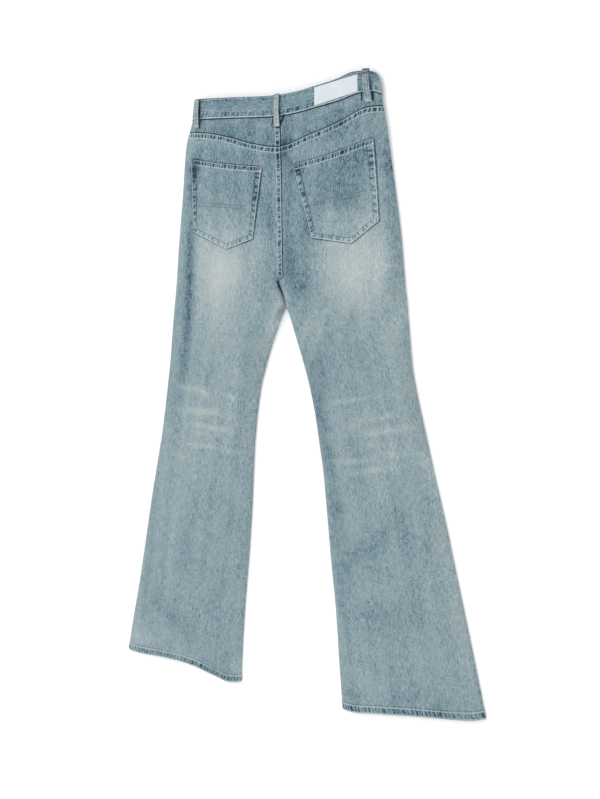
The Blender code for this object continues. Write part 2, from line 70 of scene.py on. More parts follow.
def setUpStudio():
    camData = bpy.data.cameras.new("photoCamera")
    camData.lens = studio["lens"]
    camData.sensor_width = 36.0
    camData.clip_start = 0.05
    camData.clip_end = 50.0
    cam = bpy.data.objects.new("photoCamera", camData)
    scene.collection.objects.link(cam)
    cam.location = studio["cameraPlace"]
    cam.rotation_euler = [math.radians(a) for a in studio["cameraTurn"]]
    scene.camera = cam

    world = bpy.data.worlds.new("studioSky")
    scene.world = world
    world.use_nodes = True
    sky = world.node_tree.nodes["Background"]
    sky.inputs["Color"].default_value = (*studio["skyColour"], 1.0)
    sky.inputs["Strength"].default_value = studio["skyStrength"]
    for light in studio["lights"]:
        addAreaLight(*light)

    bpy.ops.mesh.primitive_plane_add(size=studio["floorSize"])
    floorPiece = bpy.context.object
    floorPiece.name = "floor"
    paint = bpy.data.materials.new("paleFloor")
    paint.use_nodes = True
    shader = paint.node_tree.nodes["Principled BSDF"]
    shader.inputs["Base Color"].default_value = (*studio["floorColour"], 1.0)
    shader.inputs["Roughness"].default_value = studio["floorRoughness"]
    floorPiece.data.materials.append(paint)
    scene.view_settings.view_transform = "Standard"


setUpStudio()
print("studio ready")

# form of the garment in metres: the solids' own numbers, but with the crotch 12 mm further up
form = {
    "cloth": 0.0014, "bandCloth": 0.0026, "hemCloth": 0.0026,
    "seamGap": 0.0003, "layGap": 0.0006, "bandProud": 0.0006,
    "crotchY": 0.167, "rollPower": 2.4, "rollLength": 3.2,
    "foldLow": 0.0018, "foldShare": 0.17, "foldBase": 0.0008, "foldTurn": 0.7, "foldInset": 0.0009,
    "grooveFrom": 0.020, "grooveReach": 0.050, "grooveWidth": 0.020,
    "waistLift": 0.0036, "liftFrom": 0.36, "liftTo": 0.47,
    "bandHeight": 0.0350, "frontDip": 0.016, "waistReach": 0.19, "frontY": 0.4825,
    "hemHeight": 0.015, "fellWidth": 0.0095, "fellRise": 0.0007, "bodyBlend": 0.012,
    "foldsFade": 0.030, "fineFade": (0.002, 0.018), "innerFade": (-0.001, 0.010), "ripple": 0.00022,
}
outlineNames = ("y", "left", "right", "gapLeft", "gapRight", "loft")
outline = np.array((
    (-0.560, -0.3800, 0.3815, -0.1075, 0.1085, 0.0115),
    (-0.460, -0.3595, 0.3605, -0.1010, 0.1015, 0.0120),
    (-0.370, -0.3380, 0.3405, -0.0925, 0.0960, 0.0130),
    (-0.280, -0.3190, 0.3200, -0.0825, 0.0870, 0.0140),
    (-0.190, -0.3000, 0.2995, -0.0745, 0.0795, 0.0150),
    (-0.130, -0.2860, 0.2845, -0.0705, 0.0740, 0.0160),
    (-0.080, -0.2745, 0.2725, -0.0665, 0.0670, 0.0170),
    (-0.030, -0.2650, 0.2605, -0.0605, 0.0595, 0.0180),
    (0.020, -0.2565, 0.2490, -0.0515, 0.0490, 0.0190),
    (0.060, -0.2500, 0.2415, -0.0395, 0.0380, 0.0195),
    (0.105, -0.2445, 0.2370, -0.0230, 0.0240, 0.0200),
    (0.145, -0.2395, 0.2335, -0.0060, 0.0118, 0.0200),
    (0.167, -0.2364, 0.2318, 0.0040, 0.0040, 0.0200),
    (0.190, -0.2330, 0.2290, 0.0040, 0.0040, 0.0205),
    (0.270, -0.2240, 0.2220, 0.0040, 0.0040, 0.0215),
    (0.360, -0.2125, 0.2100, 0.0040, 0.0040, 0.0215),
    (0.450, -0.1995, 0.1975, 0.0040, 0.0040, 0.0200),
    (0.492, -0.1850, 0.1905, 0.0040, 0.0040, 0.0190),
    (0.512, -0.1815, 0.1885, 0.0040, 0.0040, 0.0185),
    (0.528, -0.1795, 0.1850, 0.0040, 0.0040, 0.0185),
    (0.546, -0.1785, 0.1735, 0.0040, 0.0040, 0.0180),
))
centreLine = ((0.167, 0.0040), (0.180, 0.0020), (0.190, -0.0012), (0.202, -0.0042), (0.214, 0.0070),
              (0.430, 0.0070), (0.560, 0.0055))   # y, x of the seat seam
seamLines = {      # x, y
    "waist": ((-0.1965, 0.4940), (-0.0965, 0.4880), (0.0035, 0.4825), (0.0335, 0.4840),
              (0.0735, 0.4895), (0.1185, 0.4965), (0.1600, 0.5055), (0.1785, 0.5060), (0.1900, 0.5025)),
    "yoke": ((-0.2065, 0.4735), (-0.1415, 0.4655), (-0.0965, 0.4550), (-0.0515, 0.4410),
             (0.0035, 0.4315), (0.0605, 0.4455), (0.1185, 0.4620), (0.1715, 0.4815), (0.2035, 0.4835)),
}
hemLines = {       # share of the leg's width from its inner fold, y
    -1: ((0.00, -0.5330), (0.08, -0.5350), (0.20, -0.5285), (0.36, -0.5185), (0.52, -0.5140),
         (0.68, -0.5130), (0.82, -0.5140), (1.00, -0.5130)),
    1: ((0.00, -0.5435), (0.10, -0.5425), (0.23, -0.5380), (0.47, -0.5290), (0.61, -0.5245),
        (0.76, -0.5200), (0.90, -0.5150), (1.00, -0.5095)),
}
# broad folds of the solids: x, y, degrees, half length, half width, height
broadFolds = np.array((
    (-0.146, 0.117, 100, 0.11, 0.03, 0.0016), (-0.071, 0.147, 60, 0.06, 0.022, -0.0018),
    (0.089, 0.138, 118, 0.07, 0.024, -0.0018), (0.153, 0.107, 84, 0.12, 0.032, 0.0015),
    (-0.167, -0.062, 92, 0.1, 0.03, -0.0012), (0.169, -0.073, 80, 0.11, 0.03, -0.0012),
    (-0.211, -0.333, 76, 0.13, 0.035, 0.0018), (-0.157, -0.453, 70, 0.09, 0.028, 0.0026),
    (0.248, -0.343, 102, 0.12, 0.035, 0.0016), (0.174, -0.432, 96, 0.1, 0.028, -0.0014),
))
# finer creases that only the looks have, in the same columns
fineCreases = np.array((
    (-0.022, 0.322, 118, 0.05, 0.006, -0.0011), (-0.034, 0.33, 116, 0.045, 0.008, 0.0008),
    (-0.016, 0.262, 105, 0.04, 0.006, -0.0008), (0.024, 0.33, 84, 0.08, 0.008, -0.0009),
    (0.037, 0.3, 80, 0.09, 0.01, 0.0009), (0.028, 0.215, 70, 0.045, 0.007, -0.001),
    (0.048, 0.19, 62, 0.05, 0.008, 0.0008), (-0.03, 0.182, 115, 0.04, 0.007, 0.0009),
    (-0.019, 0.15, 120, 0.03, 0.005, -0.001), (-0.062, 0.165, 128, 0.045, 0.008, -0.0007),
    (0.055, 0.12, 66, 0.04, 0.007, -0.0009), (0.07, 0.085, 72, 0.05, 0.009, 0.0009),
    (0.096, 0.06, 76, 0.06, 0.009, -0.0008), (-0.064, 0.08, 100, 0.055, 0.009, 0.0007),
    (-0.168, 0.205, 97, 0.08, 0.01, 0.0006), (0.172, 0.19, 84, 0.08, 0.01, 0.0006),
    (-0.28, -0.35, 96, 0.07, 0.01, 0.0007), (-0.236, -0.25, 94, 0.11, 0.012, -0.0007),
    (-0.13, -0.36, 84, 0.09, 0.011, 0.0007), (0.205, -0.25, 86, 0.12, 0.012, -0.0007),
    (0.3, -0.42, 100, 0.08, 0.011, 0.0007), (-0.14, 0.35, 95, 0.05, 0.012, 0.0005),
    (0.12, 0.24, 80, 0.05, 0.011, 0.0006), (-0.11, 0.47, 168, 0.04, 0.006, 0.0005),
    (0.095, 0.476, 16, 0.045, 0.006, 0.0005), (0.01, 0.473, 62, 0.009, 0.0024, -0.0018),
    (0.0165, 0.472, 64, 0.01, 0.003, 0.0008), (-0.004, 0.2, 96, 0.006, 0.0022, -0.0022),
    (-0.0016, 0.1915, 106, 0.006, 0.0022, -0.0028), (0.001, 0.183, 108, 0.006, 0.002, -0.0026),
    (0.003, 0.175, 100, 0.006, 0.0018, -0.0018), (0.0085, 0.183, 110, 0.014, 0.005, 0.001),
    (-0.014, 0.198, 95, 0.014, 0.006, 0.0007), (-0.02, 0.458, 125, 0.018, 0.004, 0.0006),
))
# worn lines over the knees: x, y, degrees, half length, half width, height, bleaching, cream
kneeLines = np.array((
    (-0.189, 0.0114, 170, 0.037, 0.0046, 0.0006, 0.12, 0.5),
    (-0.162, 0.0017, 133, 0.01, 0.006, 0.0003, 0.09, 0.8),
    (-0.101, -0.0009, 172, 0.016, 0.004, 0.0005, 0.15, 0.4),
    (-0.168, -0.0296, 177, 0.054, 0.0062, 0.0006, 0.05, 0.8),
    (-0.18, -0.0542, 175, 0.023, 0.0044, 0.0005, 0.07, 0.4),
    (-0.134, -0.06, 176, 0.03, 0.0045, 0.0006, 0.11, 0.6),
    (-0.173, -0.0705, 176, 0.022, 0.004, 0.0003, 0.01, 0.7),
    (-0.172, -0.0941, 176, 0.04, 0.0045, 0.0006, 0.12, 0.4),
    (-0.106, -0.0987, 1, 0.02, 0.005, 0.0004, 0.05, 0.3),
    (-0.219, -0.1159, 170, 0.014, 0.006, 0.0004, 0.07, 0.5),
    (-0.18, -0.1206, 165, 0.017, 0.008, 0.0003, 0.04, 0.2),
    (0.134, 0.0037, 10, 0.053, 0.004, 0.0006, 0.11, 0.4),
    (0.143, -0.0382, 26, 0.019, 0.0044, 0.0003, 0.08, 0.3),
    (0.189, -0.0233, 9, 0.034, 0.0045, 0.0006, 0.1, 0.3),
    (0.177, -0.0502, 12, 0.029, 0.0046, 0.0006, 0.09, 0.7),
    (0.224, -0.0408, 10, 0.031, 0.006, 0.0005, 0.05, 0.7),
    (0.175, -0.0693, 4, 0.026, 0.006, 0.0004, 0.04, 0.7),
    (0.139, -0.0996, 6, 0.041, 0.0045, 0.0006, 0.09, 0.8),
    (0.219, -0.0816, 8, 0.026, 0.0054, 0.0005, 0.07, 0.4),
    (0.26, -0.092, 162, 0.016, 0.007, 0.0003, 0.06, 0.3),
    (0.174, -0.1126, 11, 0.04, 0.0048, 0.0006, 0.11, 0.4),
))
fineCreases = np.vstack([fineCreases, kneeLines[:, :6]])


def smoothThrough(xs, ys, where):
    # a curve through the points with no overshoot between them
    order = np.argsort(xs)
    xs = np.asarray(xs, dtype=float)[order]
    ys = np.asarray(ys, dtype=float)[order]
    steps = np.diff(xs)
    rises = np.diff(ys) / steps
    slopes = np.concatenate([rises[:1], np.zeros(len(xs) - 2), rises[-1:]])
    same = rises[:-1] * rises[1:] > 0.0
    total = np.where(same, rises[:-1] + rises[1:], 1.0)
    slopes[1:-1] = np.where(same, 2.0 * rises[:-1] * rises[1:] / total, 0.0)
    where = np.clip(np.asarray(where, dtype=float), xs[0], xs[-1])
    cell = np.clip(np.searchsorted(xs, where, side="right") - 1, 0, len(steps) - 1)
    t = (where - xs[cell]) / steps[cell]
    start = ys[cell] * (1.0 + 2.0 * t) * (1.0 - t) ** 2
    end = ys[cell + 1] * t * t * (3.0 - 2.0 * t)
    return start + end + steps[cell] * t * (1.0 - t) * (slopes[cell] * (1.0 - t) - slopes[cell + 1] * t)


def outlineAt(name, y):
    return smoothThrough(outline[:, 0], outline[:, outlineNames.index(name)], y)


def centreAt(y):
    return lineAt(centreLine, y)


def lineAt(line, x):
    return smoothThrough(*zip(*line), x)


def ease(low, high, value):
    t = np.clip((value - low) / (high - low), 0.0, 1.0)
    return t * t * (3.0 - 2.0 * t)


def rollShare(distance, length):
    t = 1.0 - np.clip(distance / length, 0.0, 1.0)
    return (1.0 - t ** form["rollPower"]) ** (1.0 / form["rollPower"])


def liftAt(y):
    return form["waistLift"] * ease(form["liftFrom"], form["liftTo"], y)


def bodyShare(y):
    # 0 down the legs, 1 over the seat, where the halves meet in a seam
    return ease(form["crotchY"], form["crotchY"] + form["bodyBlend"], y)


def edgesAt(side, y):
    # the inner and the outer edge of one half
    outer = outlineAt("left" if side < 0 else "right", y)
    gap = outlineAt("gapLeft" if side < 0 else "gapRight", y)
    return np.where(y < form["crotchY"], gap, centreAt(y)), outer


def addFolds(table, x, y):
    # a sum of long soft humps and hollows
    total = np.zeros(np.broadcast(x, y).shape)
    for placeX, placeY, degrees, length, width, height in table:
        c, s = math.cos(math.radians(degrees)), math.sin(math.radians(degrees))
        run = (x - placeX) * c + (y - placeY) * s
        across = (y - placeY) * c - (x - placeX) * s
        total += height * np.exp(-(run / length) ** 2 - np.abs(across / width) ** 2.0)
    return total


def topHeight(x, y, fine=True):
    # outer face of the upper layer
    x, y = np.broadcast_arrays(np.asarray(x, dtype=float), np.asarray(y, dtype=float))
    left = x < centreAt(y)
    inner, outer = [np.where(left, *pair) for pair in zip(edgesAt(-1, y), edgesAt(1, y))]
    side = np.where(left, -1.0, 1.0)
    loft = outlineAt("loft", y)
    fromOuter = np.clip((outer - x) * side, 0.0, None)
    fromInner = np.clip((x - inner) * side, 0.0, None)
    depth = 1.0 - ease(form["crotchY"], form["crotchY"] + form["grooveReach"], y)
    long, short = form["rollLength"] * loft, form["grooveWidth"]
    innerLength = short + (long - short) * (1.0 - ease(form["grooveFrom"], form["crotchY"], y))
    rise = rollShare(fromOuter, long) * (1.0 - depth * (1.0 - rollShare(fromInner, innerLength)))
    middle = ease(0.0, form["foldsFade"], fromOuter) * ease(0.0, form["foldsFade"], fromInner + (1.0 - depth))
    height = liftAt(y) + loft * rise + addFolds(broadFolds, x, y) * middle
    if fine:
        fromFold = fromInner + 0.02 * (1.0 - depth)
        nearEdge = ease(*form["fineFade"], fromOuter) * ease(*form["innerFade"], fromFold)
        ripple = form["ripple"] * (np.sin(61.0 * x + 23.0 * y + 1.3) * np.sin(39.0 * y - 17.0 * x)
                                   + np.sin(113.0 * x - 31.0 * y) * np.sin(71.0 * y + 2.1))
        height = height + (addFolds(fineCreases, x, y) + ripple) * nearEdge
    return height


def upwardNormal(heightOf, x, y, step=0.0008):
    slopeX = (heightOf(x + step, y) - heightOf(x - step, y)) / (2 * step)
    slopeY = (heightOf(x, y + step) - heightOf(x, y - step)) / (2 * step)
    normal = np.stack([-slopeX, -slopeY, np.ones_like(slopeX)], axis=-1)
    return normal / np.linalg.norm(normal, axis=-1, keepdims=True)


def gridNormals(points, kind="up"):
    # a strip or a ring faces away from its own middle, and a ring's last column meets its first
    if kind == "ring":
        across = np.roll(points, -1, axis=1) - np.roll(points, 1, axis=1)
    else:
        across = np.gradient(points, axis=1)
    normal = np.cross(across, np.gradient(points, axis=0))
    normal /= np.maximum(np.linalg.norm(normal, axis=-1, keepdims=True), 1e-12)
    facing = normal[..., 2] if kind == "up" else normal * (points - points.mean(axis=1, keepdims=True))
    return -normal if np.sum(facing) < 0.0 else normal


def makeWall(name, outer, inner, fields, paint, closed=False):
    # a closed wall between two grids; closed joins the last column to the first
    rows, cols = outer.shape[:2]
    points = np.concatenate([outer.reshape(-1, 3), inner.reshape(-1, 3)])
    j = np.arange(cols if closed else cols - 1)
    k = (j + 1) % cols
    i = np.arange(rows - 1)[:, None] * cols
    top = np.stack([i + j, i + k, i + cols + k, i + cols + j], axis=-1).reshape(-1, 4)
    shift = rows * cols
    faces = [top, top[:, ::-1] + shift]
    for r in (0, (rows - 1) * cols):
        rim = np.stack([r + j, r + j + shift, r + k + shift, r + k], axis=-1)
        faces.append(rim if r == 0 else rim[:, ::-1])
    if not closed:
        i = np.arange(rows - 1) * cols
        for c in (0, cols - 1):
            rim = np.stack([i + c, i + cols + c, i + cols + c + shift, i + c + shift], axis=-1)
            faces.append(rim if c == 0 else rim[:, ::-1])
    mesh = bpy.data.meshes.new(name)
    mesh.from_pydata(points.tolist(), [], np.concatenate(faces).tolist())
    shaped = bmesh.new()
    shaped.from_mesh(mesh)
    bmesh.ops.recalc_face_normals(shaped, faces=shaped.faces[:])
    if shaped.calc_volume(signed=True) < 0.0:
        bmesh.ops.reverse_faces(shaped, faces=shaped.faces[:])
    shaped.to_mesh(mesh)
    shaped.free()
    for key, value in fields.items():
        both = np.tile(value.reshape(shift, 3), (2, 1)).astype(np.float32)
        mesh.attributes.new(key, "FLOAT_VECTOR", "POINT").data.foreach_set("vector", both.ravel())
    innerSide = np.repeat(np.float32([0.0, 1.0]), shift)
    mesh.attributes.new("inside", "FLOAT", "POINT").data.foreach_set("value", innerSide)
    mesh.shade_smooth()
    mesh.set_sharp_from_angle(angle=math.radians(55))
    return placePiece(name, mesh, paint)


def placePiece(name, mesh, paint):
    mesh.materials.append(paint)
    piece = bpy.data.objects.new(name, mesh)
    scene.collection.objects.link(piece)
    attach(piece, "root")
    return piece


# nodes that several finishes use
def addMath(tree, operation, a, b=None, clamp=False):
    made = tree.nodes.new("ShaderNodeMath")
    made.operation = operation
    made.use_clamp = clamp
    for socket, value in zip(made.inputs, (a, b)):
        if isinstance(value, (int, float)):
            socket.default_value = value
        elif value is not None:
            tree.links.new(value, socket)
    return made.outputs[0]


def plus(tree, a, b, clamp=False):
    return addMath(tree, "ADD", a, b, clamp)


def times(tree, a, b):
    return addMath(tree, "MULTIPLY", a, b)


def plusWeighted(tree, total, parts):
    for value, amount in parts:
        total = plus(tree, total, times(tree, value, amount))
    return total


def addRange(tree, value, low, high, toLow=0.0, toHigh=1.0, soft=True):
    made = tree.nodes.new("ShaderNodeMapRange")
    made.interpolation_type = "SMOOTHSTEP" if soft else "LINEAR"
    tree.links.new(value, made.inputs["Value"])
    for key, number in (("From Min", low), ("From Max", high), ("To Min", toLow), ("To Max", toHigh)):
        made.inputs[key].default_value = number
    return made.outputs["Result"]


def addNoise(tree, vector, scale, stretch=(1.0, 1.0, 1.0), detail=2.0, rough=0.5):
    turned = tree.nodes.new("ShaderNodeMapping")
    turned.inputs["Scale"].default_value = stretch
    tree.links.new(vector, turned.inputs["Vector"])
    noise = tree.nodes.new("ShaderNodeTexNoise")
    for key, number in (("Scale", scale), ("Detail", detail), ("Roughness", rough)):
        noise.inputs[key].default_value = number
    tree.links.new(turned.outputs[0], noise.inputs["Vector"])
    return noise.outputs["Fac"]


def splitVector(tree, vector):
    made = tree.nodes.new("ShaderNodeSeparateXYZ")
    tree.links.new(vector, made.inputs[0])
    return made.outputs


def newGroup(name, inputs, outputs):
    # the first input is a vector; the others and the outputs are values
    group = bpy.data.node_groups.new(name, "ShaderNodeTree")
    for k, label in enumerate(inputs):
        kind = "NodeSocketFloat" if k else "NodeSocketVector"
        group.interface.new_socket(name=label, in_out="INPUT", socket_type=kind)
    for label in outputs:
        group.interface.new_socket(name=label, in_out="OUTPUT", socket_type="NodeSocketFloat")
    return group, group.nodes.new("NodeGroupInput"), group.nodes.new("NodeGroupOutput")


# noises in two groups: scale, stretch, detail, roughness
noises = {
    "stoneWash": {"Patches": (18.0, (1.0, 1.0, 1.0), 3.0, 0.5), "Mottle": (140.0, (1.0, 0.36, 1.0), 4.0, 0.6),
                  "Grain": (560.0, (1.0, 0.50, 1.0), 3.0, 0.65)},
    "yarnStreaks": {"Broad": (42.0, (1.0, 0.06, 1.0), 3.0, 0.5), "Slub": (430.0, (1.0, 0.22, 1.0), 2.0, 0.6),
                    "Fine": (1300.0, (1.0, 0.06, 1.0), 1.0, 0.5)},
}
weave = {
    "ribsAcross": 0.00125, "ribsAlong": 0.0019, "yarns": 0.00066,    # pitches in metres
    "unevenScale": 900.0,
}


def makeNoises(name):
    group, start, end = newGroup(name, ("Vector",), noises[name])
    for label, settings in noises[name].items():
        group.links.new(addNoise(group, start.outputs["Vector"], *settings), end.inputs[label])
    return group


def makeTwillWeave():
    # fine diagonal ribs with the warp yarns' own ridges
    group, start, end = newGroup("twillWeave", ("Vector",), ("Tone", "Height"))
    vector = start.outputs["Vector"]
    x, y = splitVector(group, vector)[:2]
    slant = plus(group, times(group, x, 2 * math.pi / weave["ribsAcross"]),
                 times(group, y, 2 * math.pi / weave["ribsAlong"]))
    rib, yarn = [addRange(group, addMath(group, "SINE", phase), -1.0, 1.0, soft=False)
                 for phase in (slant, times(group, x, 2 * math.pi / weave["yarns"]))]
    uneven = addNoise(group, vector, weave["unevenScale"], (1.0, 0.3, 1.0))
    height = plusWeighted(group, times(group, rib, 0.6), ((yarn, 0.3), (uneven, 0.35)))
    group.links.new(height, end.inputs["Height"])
    tone = plusWeighted(group, times(group, rib, 0.7), ((uneven, 0.3),))
    group.links.new(tone, end.inputs["Tone"])
    return group


def makeRopedSeam():
    # Field holds the distance along a seam, the share across its band, and its strength
    group, start, end = newGroup("ropedSeam", ("Field", "Pitch", "Slant", "Edge"),
                                 ("Pale", "Dark", "Near", "Far", "Groove", "Height"))
    along, across, strength = splitVector(group, start.outputs["Field"])
    stretched = group.nodes.new("ShaderNodeCombineXYZ")
    group.links.new(along, stretched.inputs[0])
    group.links.new(times(group, across, 0.0045), stretched.inputs[1])
    wobble = addNoise(group, stretched.outputs[0], 70.0, detail=1.0)
    broken = addNoise(group, stretched.outputs[0], 210.0, detail=3.0, rough=0.6)
    phase = plus(group, addMath(group, "DIVIDE", along, start.outputs["Pitch"]),
                 times(group, across, start.outputs["Slant"]))
    wave = addMath(group, "SINE", times(group, plusWeighted(group, phase, ((wobble, 2.4),)), 2 * math.pi))
    # dark blocks and pale humps between the two rows
    inBand = times(group, addRange(group, across, 0.14, 0.26), addRange(group, across, 0.82, 0.95, 1.0, 0.0))
    inBand = times(group, inBand, strength)
    uneven = addRange(group, broken, 0.34, 0.56, 0.45, 1.0)
    ragged = plus(group, wave, addRange(group, broken, 0.3, 0.7, -0.4, 0.4, soft=False))
    dark = times(group, times(group, addRange(group, ragged, -0.40, 0.55), inBand), uneven)
    group.links.new(times(group, addRange(group, ragged, -0.15, -0.95), inBand), end.inputs["Pale"])
    group.links.new(dark, end.inputs["Dark"])
    # the ridges along both rows, rubbed pale, and the groove where the cloths meet, dark with unfaded dye and
    # painted shade
    rubbed = times(group, addRange(group, broken, 0.30, 0.60, 0.5, 1.0), strength)
    lines = (("Near", 0.12, 0.12 * 0.35, 0.12, rubbed), ("Far", 0.99, 0.12 * 0.35, 0.12, rubbed),
             ("Groove", start.outputs["Edge"], 0.05, 0.15, strength))
    for key, middle, full, reach, share in lines:
        away = addMath(group, "ABSOLUTE", addMath(group, "SUBTRACT", across, middle))
        group.links.new(times(group, addRange(group, away, full, reach, 1.0, 0.0), share), end.inputs[key])
    group.links.new(times(group, times(group, wave, -1.0), inBand), end.inputs["Height"])
    return group


shared = {"wash": makeNoises("stoneWash"), "streaks": makeNoises("yarnStreaks"), "twill": makeTwillWeave(),
          "rope": makeRopedSeam()}


def useGroup(tree, name, vector, **settings):
    made = tree.nodes.new("ShaderNodeGroup")
    made.node_tree = shared[name]
    tree.links.new(vector, made.inputs[0])
    for key, number in settings.items():
        made.inputs[key].default_value = number
    return made.outputs


def readField(tree, name, output="Vector"):
    made = tree.nodes.new("ShaderNodeAttribute")
    made.attribute_name = name
    return made.outputs[output]


def newPaint(name, **settings):
    # a material, its tree and its shader, with settings such as Metallic=1.0
    paint = bpy.data.materials.new(name)
    paint.use_nodes = True
    shader = paint.node_tree.nodes["Principled BSDF"]
    for key, number in settings.items():
        shader.inputs[key.replace("_", " ")].default_value = number
    return paint, paint.node_tree, shader


def addRamp(tree, value, *steps):
    ramp = tree.nodes.new("ShaderNodeValToRGB")
    elements = ramp.color_ramp.elements
    while len(elements) < len(steps):
        elements.new(0.5)
    for element, (place, colour) in zip(elements, steps):
        element.position = place
        element.color = (*colour, 1.0)
    tree.links.new(value, ramp.inputs["Fac"])
    return ramp.outputs["Color"]


def addBump(tree, shader, height, distance, strength=1.0):
    bump = tree.nodes.new("ShaderNodeBump")
    bump.inputs["Distance"].default_value = distance
    bump.inputs["Strength"].default_value = strength
    tree.links.new(height, bump.inputs["Height"])
    tree.links.new(bump.outputs["Normal"], shader.inputs["Normal"])


def objectPlace(tree):
    return tree.nodes.new("ShaderNodeTexCoord").outputs["Object"]


def scaled(colour, share):
    return tuple(min(1.0, share * c) for c in colour)


denimLook = {
    # share of bleaching and the colour there, from deep indigo to worn white
    "steps": ((0.00, (0.009, 0.030, 0.050)), (0.12, (0.044, 0.088, 0.121)), (0.25, (0.105, 0.181, 0.222)),
              (0.50, (0.227, 0.302, 0.328)), (0.75, (0.350, 0.418, 0.431)), (1.00, (0.550, 0.590, 0.580))),
    "cream": (0.478, 0.495, 0.450),
    "tint": (0.246, 0.312, 0.312),
    "inside": (0.420, 0.480, 0.500),
    # how far patches, mottle, specks, broad streaks, slubs, fine streaks and ribs change the bleaching
    "uneven": (0.07, 0.19, 0.60, 0.24, 0.44, 0.18, 0.07),
    "blocks": (0.10, -0.43),       # pale humps and dark blocks of the roped seams
    # the groove's darkening: unfaded dye and painted shade
    "groove": -0.60,
    "castShare": 0.50,
    "liningShare": 0.8,
    # heights of ribs, slubs, specks, mottle and the two roped seams, in parts of the relief
    "heights": (0.16, 0.35, 0.30, 0.35, 0.50, 0.50),
    "relief": 0.0007,
}


def makeDenim(name, level=0.465, blocks=1.0, near=(0.30, 0.30), far=(0.32, 0.32), pitch=(0.0070, 0.0080),
              slant=(0.20, 0.15), edge=-0.06, beige=0.0):
    # level is the bleaching between the fades; blocks, near and far are the strengths in the roped seams
    paint, tree, shader = newPaint(name, Specular_IOR_Level=0.25, Sheen_Weight=0.08, Sheen_Roughness=0.5)
    vector = readField(tree, "grain")
    patches, mottle, speck = useGroup(tree, "wash", vector)
    broad, slub, fine = useGroup(tree, "streaks", vector)
    tone, ribs = useGroup(tree, "twill", vector)
    washShade, cream, castPlace = splitVector(tree, readField(tree, "washShade"))
    # bleaching: the fades with their painted shade, then the unevenness of the wash and the yarns, calmer
    # where it is worn to cream
    uneven = None
    for value, amount in zip((patches, mottle, speck, broad, slub, fine, tone), denimLook["uneven"]):
        more = addRange(tree, value, 0.2, 0.8, -amount / 2, amount / 2, soft=False)
        uneven = plus(tree, uneven, more) if uneven else more
    calm = addRange(tree, cream, 0.10, 0.80, 1.0, 0.45, soft=False)
    bleach = plus(tree, times(tree, uneven, calm), plus(tree, washShade, level))
    ropeHeights = []
    for k, key in enumerate(("ropeA", "ropeB")):
        rope = useGroup(tree, "rope", readField(tree, key), Pitch=pitch[k], Slant=slant[k], Edge=edge)
        pale, dark = denimLook["blocks"]
        amounts = (pale * blocks, dark * blocks, near[k], far[k], denimLook["groove"])
        bleach = plusWeighted(tree, bleach, zip(rope[:5], amounts))
        ropeHeights.append(rope["Height"])
    # painted shade along fine dark lines: distance from one, its half width and its strength
    aside, half, strength = splitVector(tree, readField(tree, "lines"))
    away = addMath(tree, "DIVIDE", addMath(tree, "ABSOLUTE", aside), half)
    shade = times(tree, addRange(tree, away, 0.25, 1.0, 1.0, 0.0), strength)
    shade = times(tree, shade, addRange(tree, mottle, 0.35, 0.60, 0.55, 1.0))
    bleach = addMath(tree, "SUBTRACT", bleach, shade)
    colour = addRamp(tree, bleach, *denimLook["steps"])
    # a yellower cast in patches down the legs, cream on the fades, and the paler inner side
    cast = times(tree, addRange(tree, patches, 0.42, 0.66, 0.0, denimLook["castShare"]),
                 addRange(tree, mottle, 0.3, 0.7, 0.4, 1.0))
    cast = times(tree, cast, castPlace)
    creamy = plus(tree, times(tree, cream, addRange(tree, bleach, 0.35, 0.95)), beige, clamp=True)
    lining = times(tree, readField(tree, "inside", "Fac"), denimLook["liningShare"])
    for share, other in ((cast, "tint"), (creamy, "cream"), (lining, "inside")):
        mixed = tree.nodes.new("ShaderNodeMix")
        mixed.data_type = "RGBA"
        mixed.inputs[7].default_value = (*denimLook[other], 1.0)
        tree.links.new(colour, mixed.inputs[6])
        tree.links.new(share, mixed.inputs[0])
        colour = mixed.outputs[2]
    tree.links.new(colour, shader.inputs["Base Color"])
    tree.links.new(addRange(tree, speck, 0.25, 0.75, 0.95, 0.80, soft=False), shader.inputs["Roughness"])
    ribShare, *shares = denimLook["heights"]
    height = plusWeighted(tree, times(tree, ribs, ribShare), zip((slub, speck, mottle, *ropeHeights), shares))
    addBump(tree, shader, height, denimLook["relief"], 0.75)
    return paint


threadLook = {"uneven": 140.0, "strands": 2600.0, "change": 0.10, "darkest": 0.62, "palest": 1.35,
              "roughness": 0.7, "relief": 0.0002}


def makeThread(name, colour):
    # twisted thread, a little uneven in tone along the seam
    paint, tree, shader = newPaint(name, Roughness=threadLook["roughness"])
    place = objectPlace(tree)
    uneven = addNoise(tree, place, threadLook["uneven"])
    strands = addNoise(tree, place, threadLook["strands"], detail=1.0)
    change = threadLook["change"]
    tone = plus(tree, *[addRange(tree, noise, 0.3, 0.7, -change, change, soft=False)
                        for noise in (uneven, strands)])
    mixed = addRamp(tree, plus(tree, tone, 0.5), (0.0, scaled(colour, threadLook["darkest"])),
                    (1.0, scaled(colour, threadLook["palest"])))
    tree.links.new(mixed, shader.inputs["Base Color"])
    addBump(tree, shader, strands, threadLook["relief"])
    return paint


